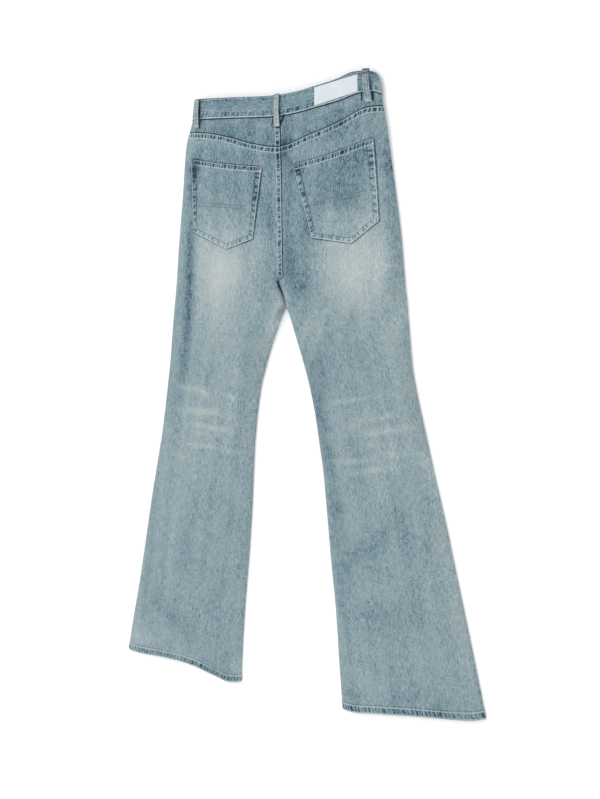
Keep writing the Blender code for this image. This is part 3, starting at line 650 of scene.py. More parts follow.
paints = {
    "denim": makeDenim("washedDenim"),
    "band": makeDenim("waistDenim", level=0.355, blocks=0.55, near=(0.48, 0.0), far=(0.05, 0.0),
                      pitch=(0.0086, 0.0094)),
    "pocket": makeDenim("pocketDenim", blocks=0.95, near=(0.85, 0.40), far=(-0.50, 0.34),
                        pitch=(0.0112, 0.0064), slant=(0.05, 0.20), edge=0.02),
    "hem": makeDenim("hemDenim", level=0.41, blocks=0.62, near=(0.40, 0.0), pitch=(0.0068, 0.0080),
                     slant=(0.45, 0.0)),
    "loop": makeDenim("loopDenim", level=0.36, near=(0.0, 0.0), far=(0.0, 0.0), beige=0.16),
    "seamThread": makeThread("paleThread", (0.52, 0.58, 0.60)),
    "tanThread": makeThread("tanThread", (0.205, 0.205, 0.185)),
    "blueThread": makeThread("blueThread", (0.20, 0.28, 0.31)),
    "tackThread": makeThread("tackThread", (0.33, 0.29, 0.275)),
    "warmThread": makeThread("warmThread", (0.56, 0.44, 0.30)),
}
print("finishes ready")

# wash fades and painted shade: x, y, degrees, half length, half width, bleaching, and cream where it has
# some; negative bleaching is unfaded dye and also painted shade in folds, creases and beside the loops and
# pockets, and a few pale spots are painted light where the form lies in shade
washAndShade = (
    # seat and thighs
    (-0.118, 0.232, 96, 0.058, 0.056, 0.25, 0.45), (-0.135, 0.155, 98, 0.075, 0.034, 0.12, 0.35),
    (0.137, 0.228, 88, 0.062, 0.062, 0.24, 0.45), (0.135, 0.16, 84, 0.05, 0.042, 0.04, 0.3),
    (0.172, 0.285, 80, 0.045, 0.024, 0.08, 0.2), (0.187, 0.355, 80, 0.04, 0.01, 0.1),
    (0.191, 0.236, 84, 0.03, 0.016, 0.1, 0.1), (-0.158, 0.273, 96, 0.022, 0.018, 0.1, 0.1),
    (-0.188, 0.235, 86, 0.085, 0.011, -0.34), (-0.202, 0.1, 83, 0.07, 0.011, -0.2),
    (-0.172, 0.41, 80, 0.026, 0.013, -0.36), (-0.181, 0.368, 86, 0.022, 0.011, -0.2),
    (-0.217, 0.032, 84, 0.03, 0.01, -0.12), (0.026, 0.33, 90, 0.1, 0.02, -0.13),
    (0.112, 0.268, 4, 0.022, 0.009, 0.12), (0.04, 0.225, 82, 0.07, 0.024, -0.13),
    (0.016, 0.222, 85, 0.045, 0.016, -0.15), (-0.018, 0.31, 98, 0.06, 0.012, -0.1),
    (-0.04, 0.345, 94, 0.045, 0.012, -0.13), (0.06, 0.298, 84, 0.024, 0.014, -0.14),
    (0.13, 0.28, 30, 0.018, 0.01, -0.12), (-0.03, 0.268, 90, 0.018, 0.012, 0.11),
    (-0.004, 0.214, 80, 0.012, 0.01, -0.16), (0.038, 0.196, 76, 0.022, 0.014, -0.1),
    (0.0, 0.17, 106, 0.014, 0.006, 0.24), (0.052, 0.12, 66, 0.06, 0.022, -0.04),
    (0.048, 0.116, 66, 0.03, 0.009, 0.16), (0.014, 0.178, 100, 0.016, 0.007, 0.14),
    (-0.048, 0.152, 70, 0.03, 0.012, 0.09), (0.07, 0.105, 68, 0.05, 0.007, 0.1, 0.1),
    (0.066, 0.135, 100, 0.035, 0.014, 0.12), (-0.017, 0.128, 68, 0.058, 0.012, 0.28),
    (0.224, 0.142, 78, 0.04, 0.016, 0.18, 0.1), (0.187, 0.196, 85, 0.035, 0.012, 0.07),
    (0.11, 0.08, 84, 0.05, 0.034, -0.04), (0.083, 0.062, 99, 0.075, 0.014, -0.08),
    (0.14, 0.138, 70, 0.024, 0.012, -0.14), (0.118, 0.1, 90, 0.03, 0.016, 0.07),
    (0.168, 0.158, 90, 0.02, 0.014, 0.06), (0.24, 0.05, 102, 0.055, 0.012, 0.09),
    (-0.09, 0.038, 88, 0.03, 0.014, 0.08),
    # pockets and yokes
    (-0.1, 0.36, 90, 0.045, 0.06, -0.1), (0.11, 0.35, 90, 0.045, 0.06, -0.14),
    (0.104, 0.316, 84, 0.016, 0.012, 0.12), (0.138, 0.339, 88, 0.018, 0.014, -0.1),
    (-0.085, 0.422, 172, 0.06, 0.014, -0.15), (-0.133, 0.498, 90, 0.028, 0.012, 0.08),
    (-0.018, 0.402, 90, 0.03, 0.008, -0.07), (0.15, 0.405, 14, 0.045, 0.024, -0.16),
    (0.202, 0.388, 84, 0.024, 0.01, -0.14), (-0.09, 0.458, 168, 0.024, 0.014, -0.15),
    (0.006, 0.425, 90, 0.026, 0.02, -0.17), (0.04, 0.394, 90, 0.014, 0.012, -0.16),
    (0.012, 0.428, 40, 0.012, 0.01, -0.2), (0.12, 0.449, 14, 0.06, 0.018, -0.16),
    (0.004, 0.447, 90, 0.014, 0.008, 0.12), (-0.16, 0.488, 84, 0.014, 0.007, -0.2),
    (0.037, 0.39, 0, 0.009, 0.006, -0.26), (-0.174, 0.404, 0, 0.009, 0.006, -0.22),
    (0.112, 0.486, 12, 0.05, 0.006, 0.1), (-0.064, 0.487, 176, 0.02, 0.006, 0.1),
    (0.187, 0.513, 84, 0.014, 0.008, 0.22),
    # knees
    (-0.16, -0.05, 90, 0.07, 0.07, 0.07, 0.15), (0.17, -0.06, 90, 0.07, 0.07, 0.05, 0.15),
    (0.15, -0.08, 92, 0.034, 0.026, -0.09), (-0.1, -0.035, 90, 0.03, 0.012, 0.06),
    (-0.188, -0.085, 92, 0.05, 0.018, 0.05), (-0.19, -0.15, 96, 0.034, 0.018, 0.12),
    (-0.17, -0.045, 92, 0.05, 0.016, 0.06), (0.213, -0.095, 96, 0.044, 0.013, 0.1),
    (0.198, -0.212, 90, 0.03, 0.012, -0.09), (0.076, -0.038, 102, 0.125, 0.017, -0.14),
    (0.064, 0.036, 97, 0.042, 0.017, -0.12), (0.275, -0.108, 112, 0.075, 0.015, 0.14, 0.1),
    # lower legs
    (-0.092, -0.23, 84, 0.15, 0.014, -0.06), (-0.119, -0.245, 85, 0.045, 0.013, -0.12),
    (-0.068, -0.14, 86, 0.03, 0.006, 0.1), (-0.138, -0.352, 80, 0.03, 0.016, -0.13),
    (0.1, -0.25, 96, 0.15, 0.014, -0.06), (0.18, -0.24, 56, 0.04, 0.014, -0.1),
    (0.14, -0.264, 75, 0.038, 0.018, -0.18), (0.2, -0.36, 10, 0.044, 0.02, -0.16),
    (0.112, -0.19, 95, 0.03, 0.012, -0.09), (-0.108, -0.2, 92, 0.026, 0.012, -0.09),
    (0.285, -0.24, 98, 0.036, 0.01, 0.08), (0.267, -0.246, 84, 0.04, 0.01, -0.1),
    (0.24, -0.38, 14, 0.04, 0.018, -0.05), (-0.255, -0.43, 142, 0.09, 0.022, -0.1),
    (-0.106, -0.506, 90, 0.022, 0.016, 0.14), (-0.325, -0.478, 100, 0.03, 0.03, 0.14, 0.25),
    (-0.235, -0.502, 172, 0.04, 0.01, 0.07), (0.25, -0.487, 100, 0.03, 0.02, -0.06),
    (0.323, -0.496, 100, 0.02, 0.02, -0.06), (0.234, -0.497, 20, 0.04, 0.014, -0.07),
    (0.13, -0.512, 0, 0.03, 0.008, -0.08), (0.15, -0.48, 0, 0.018, 0.01, 0.05),
    (0.305, -0.508, 0, 0.03, 0.01, -0.08), (0.234, -0.2, 95, 0.07, 0.014, -0.05),
    (-0.242, 0.0, 84, 0.03, 0.012, -0.06), (-0.203, -0.215, 90, 0.034, 0.016, 0.07),
    (0.318, -0.33, 102, 0.14, 0.014, 0.08, 0.15), (-0.165, -0.4, 84, 0.08, 0.016, -0.04),
    # painted shade down the deep crease at the crotch
    (-0.004, 0.2, 96, 0.0055, 0.0024, -0.5), (-0.0016, 0.1915, 106, 0.006, 0.0024, -0.55),
    (0.001, 0.183, 108, 0.006, 0.002, -0.45), (0.003, 0.175, 100, 0.006, 0.0014, -0.25),
)
washAndShade = np.vstack([[(*washShade, 0.0)[:7] for washShade in washAndShade], np.delete(kneeLines, 5, axis=1)])


def washAndShadeAt(x, y):
    # bleaching with its painted shade and painted light, cream, and the share of yellow cast, which the legs
    # have and the seat and waist don't
    x, y = np.broadcast_arrays(x, y)
    bleach = addFolds(washAndShade[:, :6], x, y)
    cream = addFolds(np.delete(washAndShade, 5, axis=1), x, y)
    return np.stack([bleach, np.clip(cream, 0.0, 1.0), 1.0 - ease(0.10, 0.36, y)], axis=-1)


def legGrain(side, x, y):
    # the warp runs down the middle of the leg, and straight up over the seat
    inner, outer = edgesAt(side, np.minimum(y, 0.30))
    return np.stack([x - 0.5 * (inner + outer) + 0.37 * side, y, np.zeros_like(x)], axis=-1)


def fell(distance):
    # height of a felled seam at a distance inside its edge
    width = form["fellWidth"]
    rise = ease(-0.0004, 0.0009, distance) * (1.0 - ease(width - 0.0014, width + 0.0016, distance))
    return form["fellRise"] * rise


puckers = {
    # pitch and height of the short folds along each seam, and a shift so that no two are alike
    "seat": (0.0105, 0.00028, 1.0), "yoke": (0.0105, 0.00028, 2.4),
    "hem_left": (0.0105, 0.00030, -0.3), "hem_right": (0.0105, 0.00030, 1.7),
    "bandFoot": (0.0088, 0.00026, 3.1), "bandTop": (0.0094, 0.00022, 4.3),
    "pocketEdge": (0.0098, 0.00024, 5.2), "pocketMouth": (0.0092, 0.00022, 6.1),
}


def pucker(seam, along, across):
    # short folds that the seam draws in, fading away from its band
    pitch, height, shift = puckers[seam]
    wave = np.sin(2 * np.pi * (along / pitch + 0.42 * np.sin(along / 0.037 + shift) + 0.25 * across))
    fading = np.exp(-((across - 0.5) / 0.85) ** 2)
    return height * wave * fading * (0.65 + 0.35 * np.sin(along / 0.019 + 2.0 * shift))


def ropeField(along, across, strength):
    # what the roped seam's shader reads
    return np.stack(np.broadcast_arrays(along, across, strength), axis=-1)


def noRope(x):
    return ropeField(x, 9.0, 0.0)


sides = (("left", -1), ("right", 1))
pockets = {
    "left": {"topInner": (-0.0295, 0.4015), "topOuter": (-0.1810, 0.4250), "footOuter": (-0.1780, 0.2955),
             "tip": (-0.1080, 0.2625), "footInner": (-0.0515, 0.2785), "sag": 0.0024},
    "right": {"topInner": (0.0300, 0.4005), "topOuter": (0.1810, 0.4330), "footOuter": (0.1905, 0.2990),
              "tip": (0.1410, 0.2645), "footInner": (0.0660, 0.2760), "sag": 0.0038},
}


def pocketPath(word):
    # the sewn edge from the mouth's inner corner, round the foot, to its outer corner
    return [np.array(pockets[word][key]) for key in ("topInner", "footInner", "tip", "footOuter", "topOuter")]


def pocketMouth(word, x):
    # the mouth sags between its corners
    (startX, startY), (endX, endY) = pockets[word]["topInner"], pockets[word]["topOuter"]
    share = (x - startX) / (endX - startX)
    return startY + (endY - startY) * share - pockets[word]["sag"] * 4.0 * share * (1.0 - share)


def inward(a, b, middle):
    # unit direction across the line from a to b, to the side where the middle is
    aside = np.array([(b - a)[1], -(b - a)[0]]) / np.linalg.norm(b - a)
    return aside if np.dot(aside, middle - a) > 0 else -aside


loops = {
    # x, top, bottom, lean and width of the loops over the back
    "back": {"side_left": (-0.1655, 0.5270, 0.4780, -0.0010, 0.0110),
             "centre_back": (0.0018, 0.5190, 0.4654, 0.0006, 0.0100),
             "side_right": (0.1658, 0.5430, 0.4900, 0.0064, 0.0105)},
    # how worn each is, the strength and spacing of the worn lines along it, and the shade at its top
    "worn": {"side_left": (0.15, 0.22, 0.80, 0.12), "centre_back": (0.28, -0.16, 1.15, 0.12),
             "side_right": (0.13, 0.13, 0.85, 0.62)},
    "front": {"front_left": -0.1015, "front_right": 0.1085},
    "width": 0.0108, "length": 0.050, "cut": 0.056, "thickness": 0.0018, "base": 0.0004, "arch": 0.0028,
    "turnedEnd": 0.009, "turned": 0.0005, "tip": 0.0009,
    "ridge": 0.00035, "crumple": 0.00016, "crumplePitch": 0.0072,
    "rows": 30, "columns": 21, "frontRows": 15,
}
# x, y to x, y, half widths there, strength: painted shade in creases and by the loops, then down the crotch
fineLines = (
    (-0.16, 0.5262, -0.1612, 0.479, 0.0034, 0.003, 0.9), (0.0046, 0.519, 0.0052, 0.484, 0.0014, 0.0014, 0.8),
    (0.0146, 0.4824, 0.0056, 0.464, 0.003, 0.0016, 2.1), (-0.007, 0.4648, -0.001, 0.4645, 0.001, 0.001, 0.9),
    (-0.0074, 0.479, -0.0078, 0.472, 0.0022, 0.0018, 0.4), (0.1692, 0.543, 0.1712, 0.53, 0.0016, 0.0014, 0.5),
    (0.178, 0.503, 0.1784, 0.4935, 0.0028, 0.0022, 1.1), (0.1598, 0.505, 0.1604, 0.494, 0.002, 0.0024, 0.6),
    (-0.0044, 0.203, -0.0014, 0.19, 0.0026, 0.0022, 0.9), (-0.0014, 0.19, 0.003, 0.178, 0.0022, 0.0016, 0.75),
    (0.003, 0.178, 0.0046, 0.165, 0.0015, 0.001, 0.45),
)
pocketLines = {
    # strength on the inner edge, the foot and the outer edge, where the light makes one side darker
    "left": (0.46, 0.46, 0.46, 0.28), "right": (0.28, 0.46, 0.46, 0.46),
    "mouth": 0.22, "pieces": 6, "aside": 0.0007, "halfWidth": 0.0011,
}


def listFineLines():
    # the table's lines, and those round the pockets
    listed = list(fineLines)
    for word, _ in sides:
        path = pocketPath(word)
        middle = np.mean(path, axis=0)
        x = np.linspace(path[-1][0], path[0][0], pocketLines["pieces"] + 1)[1:]
        path += list(np.stack([x, pocketMouth(word, x)], axis=-1))
        strengths = pocketLines[word] + (pocketLines["mouth"],) * pocketLines["pieces"]
        for a, b, strength in zip(path[:-1], path[1:], strengths):
            aside = -pocketLines["aside"] * inward(a, b, middle)
            listed.append((*(a + aside), *(b + aside), *(pocketLines["halfWidth"],) * 2, strength))
    return listed


def lineField(x, y):
    # signed distance from the nearest fine line, its half width, and its strength there
    best = np.full(x.shape, 9.0)
    field = np.zeros(x.shape + (3,))
    field[..., 1] = 0.001
    for ax, ay, bx, by, start, end, strength in listFineLines():
        length = math.hypot(bx - ax, by - ay)
        run = ((x - ax) * (bx - ax) + (y - ay) * (by - ay)) / length
        aside = ((x - ax) * (by - ay) - (y - ay) * (bx - ax)) / length
        past = run - np.clip(run, 0.0, length)
        away = np.hypot(aside, past)
        power = strength * (1.0 - ease(0.0, 0.003, np.abs(past))) * (np.abs(aside) < 0.0055)
        nearer = away < best
        best = np.where(nearer, away, best)
        half = start + (end - start) * np.clip(run / length, 0.0, 1.0)
        field = np.where(nearer[..., None], np.stack([aside, half, power], axis=-1), field)
    return field


# columns of the legs' grids: distances from a fold and from the seat seam, even ones between
panelGrid = {
    "foldSteps": (0.0006, 0.0, 0.0008, 0.0018, 0.0034, 0.0056, 0.0084, 0.0120, 0.0165, 0.0220,
                  0.0280, 0.0350, 0.0420),
    "seamSteps": (0.00015, 0.0010, 0.0022, 0.0038, 0.0054, 0.0070, 0.0084, 0.0096, 0.0112, 0.0150,
                  0.0215, 0.0300, 0.0420),
    "middle": 46, "frontColumns": 30, "rowStep": 0.0036,
}


def backColumns(side, y):
    foldSteps, seamSteps = np.array(panelGrid["foldSteps"]), np.array(panelGrid["seamSteps"])
    count, middle = len(foldSteps), panelGrid["middle"]
    y = np.broadcast_to(y, (len(y), 2 * count + middle))
    inner, outer = edgesAt(side, y)
    body = bodyShare(y)[:, :count]
    near = inner[:, :count] + side * (foldSteps * (1.0 - body) + seamSteps * body)
    far = outer[:, -count:] - side * foldSteps[::-1]
    start = inner[:, count:-count] + side * foldSteps[-1]
    end = outer[:, count:-count] - side * foldSteps[-1]
    share = (np.arange(middle) + 1) / (middle + 1)
    return np.concatenate([near, start + (end - start) * share, far], axis=1)


def frontColumns(side, y):
    share = np.linspace(0.0, 1.0, panelGrid["frontColumns"])
    y = np.broadcast_to(y, (len(y), len(share)))
    inner, outer = edgesAt(side, y)
    start = inner + side * (form["foldInset"] * (1.0 - bodyShare(y)) + form["seamGap"] / 2)
    return start + (outer - side * form["foldInset"] - start) * share


def hemLineAt(side, x, y):
    inner, outer = edgesAt(side, y)
    return lineAt(hemLines[side], (x - inner) / (outer - inner))


def settle(side, columns, line, start):
    # where a line crosses the columns, whose x depends on y
    y = np.full(columns(side, np.zeros((1, 1))).shape[1], start)
    for _ in range(6):
        y = line(columns(side, y[None, :])[0], y)
    return y


def seamAcross(side, line, columns):
    return settle(side, columns, lambda x, y: line(x), 0.47)


def hemAcross(side, columns):
    return settle(side, columns, lambda x, y: hemLineAt(side, x, y), -0.52)


def waistLine(x):
    return lineAt(seamLines["waist"], x)


def yokeLine(x):
    return lineAt(seamLines["yoke"], x)


def frontWaistLine(x):
    reach = np.clip(np.abs(x - centreAt(form["frontY"])) / form["waistReach"], 0.0, 1.0)
    return waistLine(x) - form["frontDip"] * (1.0 - reach * reach)


def panelHeight(x, y, part):
    # the upper layer with its felled seams; part is leg or yoke
    seat = np.where(x < centreAt(y), (centreAt(y) - x) / form["fellWidth"], 9.0)
    onSeat = ease(0.203, 0.216, y)
    height = topHeight(x, y) + (fell(seat * form["fellWidth"]) + pucker("seat", y, seat)) * onSeat
    if part == "leg":
        band = (yokeLine(x) - y) / form["fellWidth"]
        height = height + fell(band * form["fellWidth"]) + pucker("yoke", x, band)
    return height


def turnUnder(z, y):
    # both folds go down to where the layers meet; over the seat the inner edge is a seam and stays up
    reach = panelGrid["foldSteps"]
    turn = (reach[2] / reach[3]) ** form["foldTurn"]
    lift, body = liftAt(y), bodyShare(y)
    low = lift + form["foldLow"]
    widest = lift + form["foldBase"] + form["foldShare"] * outlineAt("loft", y)
    for (a, b, c, d), up in (((-1, -2, -3, -4), 0.0 * body), ((0, 1, 2, 3), body)):
        under = widest[:, c] + (z[:, d] - widest[:, c]) * turn
        for k, value in ((a, low[:, a]), (b, widest[:, b]), (c, under)):
            z[:, k] = value * (1.0 - up[:, k]) + z[:, k] * up[:, k]
    return z


def sectionPoints(side, y, part):
    x = backColumns(side, y)
    return np.stack([x, y, turnUnder(panelHeight(x, y, part), y)], axis=-1)


def panelFields(side, points, part):
    x, y = points[..., 0], points[..., 1]
    # the felled seat seam lies on the left of the centre line
    strength = (0.70 + 0.30 * ease(0.38, 0.43, y)) * ease(0.204, 0.214, y)
    seat = ropeField(y, (centreAt(y) - x) / form["fellWidth"], strength)
    nearest = np.maximum(yokeLine(x) - y, -9.0 if part == "leg" else y - waistLine(x)) / form["fellWidth"]
    tones = washAndShadeAt(x, y)
    if part == "yoke":
        tones -= np.array([0.11, 0.0, 0.0])
    return {"grain": legGrain(side, x, y), "washShade": tones, "lines": lineField(x, y),
            "ropeA": ropeField(x, nearest, 1.0), "ropeB": seat}


def rowsBetween(low, high, ends=(0.0012, 0.0028, 0.0050), step=1):
    # even rows, with closer ones at the ends
    length = high.mean() - low.mean()
    count = max(4, int(round(length / panelGrid["rowStep"])))
    near = np.array(ends) / length
    kept = [s for s in np.linspace(0.0, 1.0, count + 1) if near[-1] + 0.001 < s < 1.0 - near[-1] - 0.001]
    shares = np.array([0.0, *near, *kept, *(1.0 - near[::-1]), 1.0])
    return low + (high - low) * shares[::step, None]


def makePanel(name, side, part, low, high):
    outer = sectionPoints(side, rowsBetween(low, high), part)
    inner = outer - gridNormals(outer) * form["cloth"]
    return makeWall(name, outer, inner, panelFields(side, outer, part), paints["denim"])


def makeBackPanels():
    gap = form["seamGap"] / 2
    for word, side in sides:
        foot = hemAcross(side, backColumns) + form["hemHeight"] + gap
        seam, top = [seamAcross(side, line, backColumns) for line in (yokeLine, waistLine)]
        leg = makePanel("back_leg_" + word + "_cloth", side, "leg", foot, seam - gap)
        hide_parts("back_leg_" + word)

        yoke = makePanel("yoke_" + word + "_cloth", side, "yoke", seam + gap, top - gap)
        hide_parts("yoke_" + word)


def makeFrontPanels():
    for word, side in sides:
        low = hemAcross(side, frontColumns) + form["hemHeight"] + form["seamGap"] / 2
        high = seamAcross(side, frontWaistLine, frontColumns) - form["seamGap"] / 2
        y = rowsBetween(low, high, step=2)
        x = frontColumns(side, y)
        outer = np.stack([x, y, liftAt(y)], axis=-1)
        inner = outer + np.array([0.0, 0.0, form["cloth"]])
        fields = {"grain": legGrain(side, x, y) + np.array([0.0, 0.7, 0.0]), "washShade": 0.7 * washAndShadeAt(x, y),
                  "ropeA": noRope(x), "ropeB": noRope(x)}
        leg = makeWall("front_leg_" + word + "_cloth", outer, inner, fields, paints["denim"])
        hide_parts("front_leg_" + word)


makeBackPanels()
makeFrontPanels()
print("legs and yokes ready")

hems = {"rows": (0.0, 0.0006, 0.0016, 0.0034, 0.0055, 0.0076, 0.0097, 0.0113, 0.0124, 0.0133, 0.0148),
        "round": 0.0016, "stitchAt": 0.0124, "drawn": 0.00045, "drawnReach": 0.0009, "flat": (0.0155, 0.545)}


def hemOffset(height):
    # how far the turned hem stands out of the leg: round at its foot, drawn in by the stitching
    foot = np.clip(height / hems["round"], 0.0, 1.0)
    drawn = np.exp(-((height - hems["stitchAt"]) / hems["drawnReach"]) ** 2)
    return form["bandProud"] * (1.0 - (1.0 - foot) ** 2 * 1.6) - hems["drawn"] * drawn


def runLength(points):
    # distance of each point from the first, along the line through them
    return np.cumsum(np.r_[0.0, np.linalg.norm(np.diff(points, axis=0), axis=1)])


def makeHems():
    rise = np.array(hems["rows"])[:, None]
    for word, side in sides:
        over = sectionPoints(side, hemAcross(side, backColumns) + rise, "leg")
        offset = hemOffset(rise) + pucker("hem_" + word, runLength(over[0]), rise / hems["stitchAt"])
        over = over + gridNormals(over) * offset[..., None]
        y = hemAcross(side, frontColumns) + rise
        under = np.stack([frontColumns(side, y), y, 0.0 * y], axis=-1)
        ring = np.concatenate([over, under[:, ::-1]], axis=1)
        inner = ring - gridNormals(ring, "ring") * form["hemCloth"]
        x, y = ring[..., 0], ring[..., 1]
        tones = washAndShadeAt(x, y)
        tones[..., 0] -= 0.02
        fields = {"grain": legGrain(side, x, y), "washShade": tones,
                  "ropeA": ropeField(runLength(ring[0]), rise / hems["stitchAt"], 1.0), "ropeB": noRope(x)}
        hem = makeWall("hem_" + word + "_cloth", ring, inner, fields, paints["hem"], closed=True)
        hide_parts("hem_" + word)


makeHems()
print("hems ready")

waist = {"rows": (0.0, 0.0008, 0.0022, 0.0042, 0.0062, 0.0084, 0.0115, 0.0150, 0.0185, 0.0220, 0.0250, 0.0275,
                  0.0296, 0.0314, 0.0330, 0.0342, 0.0350),
         "round": 0.0016, "full": 0.0004, "footRope": 0.0110, "topRope": 0.0085, "flat": (0.0355, 0.780),
         # shade in the lee of each loop: strength, place and reach in widths of the loop
         "loopShades": ((0.16, 0.60, 0.25), (0.14, -0.60, 0.22))}


def bandOffset(height):
    # the doubled band: rounded at its top fold, full in the middle
    top = np.clip((form["bandHeight"] - height) / waist["round"], 0.0, 1.0)
    full = waist["full"] * np.sin(np.pi * np.clip(height / form["bandHeight"], 0.0, 1.0))
    return form["bandProud"] * (1.0 - 1.5 * (1.0 - top) ** 2) + full


def bandPuckers(x, height):
    width = form["fellWidth"]
    return pucker("bandFoot", x, height / width) + pucker("bandTop", x, (form["bandHeight"] - height) / width)


def bandHeightAt(x, y):
    # outer face of the waistband over the back
    height = y - waistLine(x)
    return topHeight(x, y, fine=False) + bandOffset(height) + bandPuckers(x, height)


def makeWaistband():
    rise = np.array(waist["rows"])[:, None]
    over, under = {}, {}
    for _, side in sides:
        y = seamAcross(side, waistLine, backColumns) + rise + form["seamGap"] / 2
        x = backColumns(side, y)
        z = turnUnder(topHeight(x, y, fine=False), y) + bandPuckers(x, rise)
        over[side] = np.stack([x, y, z], axis=-1)
        y = seamAcross(side, frontWaistLine, frontColumns) + rise + form["seamGap"] / 2
        under[side] = np.stack([frontColumns(side, y), y, liftAt(y)], axis=-1)
    middle = 0.5 * (over[1][:, :1] + over[-1][:, :1])
    strip = np.concatenate([under[1][:, :-1], over[1][:, :0:-1], middle,
                            over[-1][:, 1:], under[-1][:, -2::-1]], axis=1)
    normal = gridNormals(strip, "strip")
    outer = strip + normal * bandOffset(rise)[..., None]
    inner = strip + normal * (bandOffset(rise) - form["bandCloth"])[..., None]
    along = runLength(strip[0])
    x, y = strip[..., 0], strip[..., 1]
    tones = washAndShadeAt(x, y)
    for placeX, top, bottom, lean, width in loops["back"].values():
        away = (x - placeX - lean * np.clip((top - y) / (top - bottom), 0.0, 1.0)) / width
        tones[..., 0] -= sum(strength * np.exp(-((away - aside) / reach) ** 2)
                             for strength, aside, reach in waist["loopShades"])
    fields = {"grain": ropeField(rise, along, 0.0), "washShade": tones, "lines": lineField(x, y),
              "ropeA": ropeField(along, rise / waist["footRope"], 1.0),
              "ropeB": ropeField(along, (form["bandHeight"] - rise) / waist["topRope"], 0.5)}
    band = makeWall("waistband_cloth", outer, inner, fields, paints["band"])
    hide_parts("waistband")


makeWaistband()
print("waistband ready")

pocketLook = {
    "columns": 58, "rows": 62, "mouthBand": 0.0092,
    # width of the sewn band at both ends of each edge, from the mouth's inner corner on
    "bands": ((0.0125, 0.0085), (0.0085, 0.0085), (0.0085, 0.0085), (0.0085, 0.0125)),
    "base": 0.00015, "edge": 0.0007, "cloth": 0.0011, "round": 0.0012, "turned": 0.00045,
    "mostTurned": 0.00055, "fullness": 0.0008, "fullnessReach": 0.030, "grainFoot": 0.27, "grainHeight": 0.13,
    "flat": (0.160, 0.165), "area": {-1: 0.0188, 1: 0.0194},
}


def pocketTipShare(word):
    start, tip, end = [pockets[word][key][0] for key in ("footInner", "tip", "footOuter")]
    return (tip - start) / (end - start)


def pocketGrid(word, share, row):
    # places at shares from the inner to the outer edge, and from the mouth to the foot
    topInner, footInner, tip, footOuter, topOuter = pocketPath(word)
    tipShare = pocketTipShare(word)
    top = topInner + (topOuter - topInner) * share[:, None]
    top[:, 1] -= pockets[word]["sag"] * 4.0 * share * (1.0 - share)
    nearer = np.clip(share / tipShare, 0.0, 1.0)[:, None]
    further = np.clip((share - tipShare) / (1.0 - tipShare), 0.0, 1.0)[:, None]
    foot = footInner + (tip - footInner) * nearer + (footOuter - tip) * further
    return top[None] + (foot - top)[None] * row[:, None, None]


def pocketEdgeField(word, x, y):
    # distance along the sewn edge, share in across its band, and the band's width there
    path = pocketPath(word)
    best = np.full(np.shape(x), 1e9)
    along, width = np.zeros((2,) + np.shape(x))
    start = 0.0
    for a, b, (firstBand, lastBand) in zip(path[:-1], path[1:], pocketLook["bands"]):
        length = np.linalg.norm(b - a)
        run = ((x - a[0]) * (b - a)[0] + (y - a[1]) * (b - a)[1]) / length
        share = np.clip(run / length, 0.0, 1.0)
        band = firstBand + (lastBand - firstBand) * share
        away = np.hypot(x - a[0] - (b - a)[0] * share, y - a[1] - (b - a)[1] * share) / band
        nearer = away < best
        best = np.where(nearer, away, best)
        along = np.where(nearer, start + run, along)
        width = np.where(nearer, band, width)
        start += length
    return along, best, width


def pocketHeight(word, x, y):
    # outer face: rounded edges, turned bands, a little fullness and the pull of the seams
    along, across, width = pocketEdgeField(word, x, y)
    edge = across * width
    mouth = np.clip(pocketMouth(word, x) - y, 0.0, None)
    rounded = np.sqrt(np.clip(np.minimum(edge, mouth) / pocketLook["round"], 0.0, 1.0))
    turned = pocketLook["turned"] * (1.0 - ease(0.93, 1.12, across))
    turned = turned + pocketLook["turned"] * (1.0 - ease(0.0088, 0.0106, mouth))
    fullness = pocketLook["fullness"] * (1.0 - np.exp(-(edge / pocketLook["fullnessReach"]) ** 2))
    seam = pucker("pocketEdge", along, across) + pucker("pocketMouth", x, mouth / pocketLook["mouthBand"])
    return (topHeight(x, y) + pocketLook["edge"] + pocketLook["cloth"] * rounded
            + np.minimum(turned, pocketLook["mostTurned"]) + fullness + seam * rounded)


def sharesThrough(count, split, ends=(0.0040, 0.0085, 0.0170)):
    # shares from 0 to 1 through split, closer at both ends
    left = max(3, int(round(count * split)))
    inner = np.concatenate([np.linspace(0.0, split, left + 1), np.linspace(split, 1.0, count - left + 1)[1:]])
    kept = [s for s in inner if ends[-1] + 0.004 < s < 1.0 - ends[-1] - 0.004]
    return np.array([0.0, *ends, *kept, *[1.0 - e for e in ends[::-1]], 1.0])


def makePockets():
    for word, side in sides:
        grid = pocketGrid(word, sharesThrough(pocketLook["columns"], pocketTipShare(word)),
                          sharesThrough(pocketLook["rows"], 0.5))
        x, y = grid[..., 0], grid[..., 1]
        outer = np.stack([x, y, pocketHeight(word, x, y)], axis=-1)
        inner = np.stack([x, y, topHeight(x, y) + pocketLook["base"]], axis=-1)
        along, across = pocketEdgeField(word, x, y)[:2]
        mouth = (pocketMouth(word, x) - y) / pocketLook["mouthBand"]
        # its yarns lean with its sides
        lean = (pockets[word]["topInner"][0] - pockets[word]["footInner"][0]) * 0.5
        leant = x + lean * (y - pocketLook["grainFoot"]) / pocketLook["grainHeight"]
        grain = np.stack([leant + 0.9 * side, y + 0.35, np.zeros_like(x)], axis=-1)
        tones = washAndShadeAt(x, y)
        tones[..., 0] -= 0.02 * ease(0.30, 0.36, y)
        edgeRope = ropeField(along, across, 0.72 * ease(0.2, 1.2, mouth))
        fields = {"grain": grain, "washShade": tones, "ropeA": edgeRope, "ropeB": ropeField(x, mouth, 1.0)}
        pocket = makeWall("back_pocket_" + word + "_cloth", outer, inner, fields, paints["pocket"])
        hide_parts("back_pocket_" + word)


makePockets()
print("pockets ready")


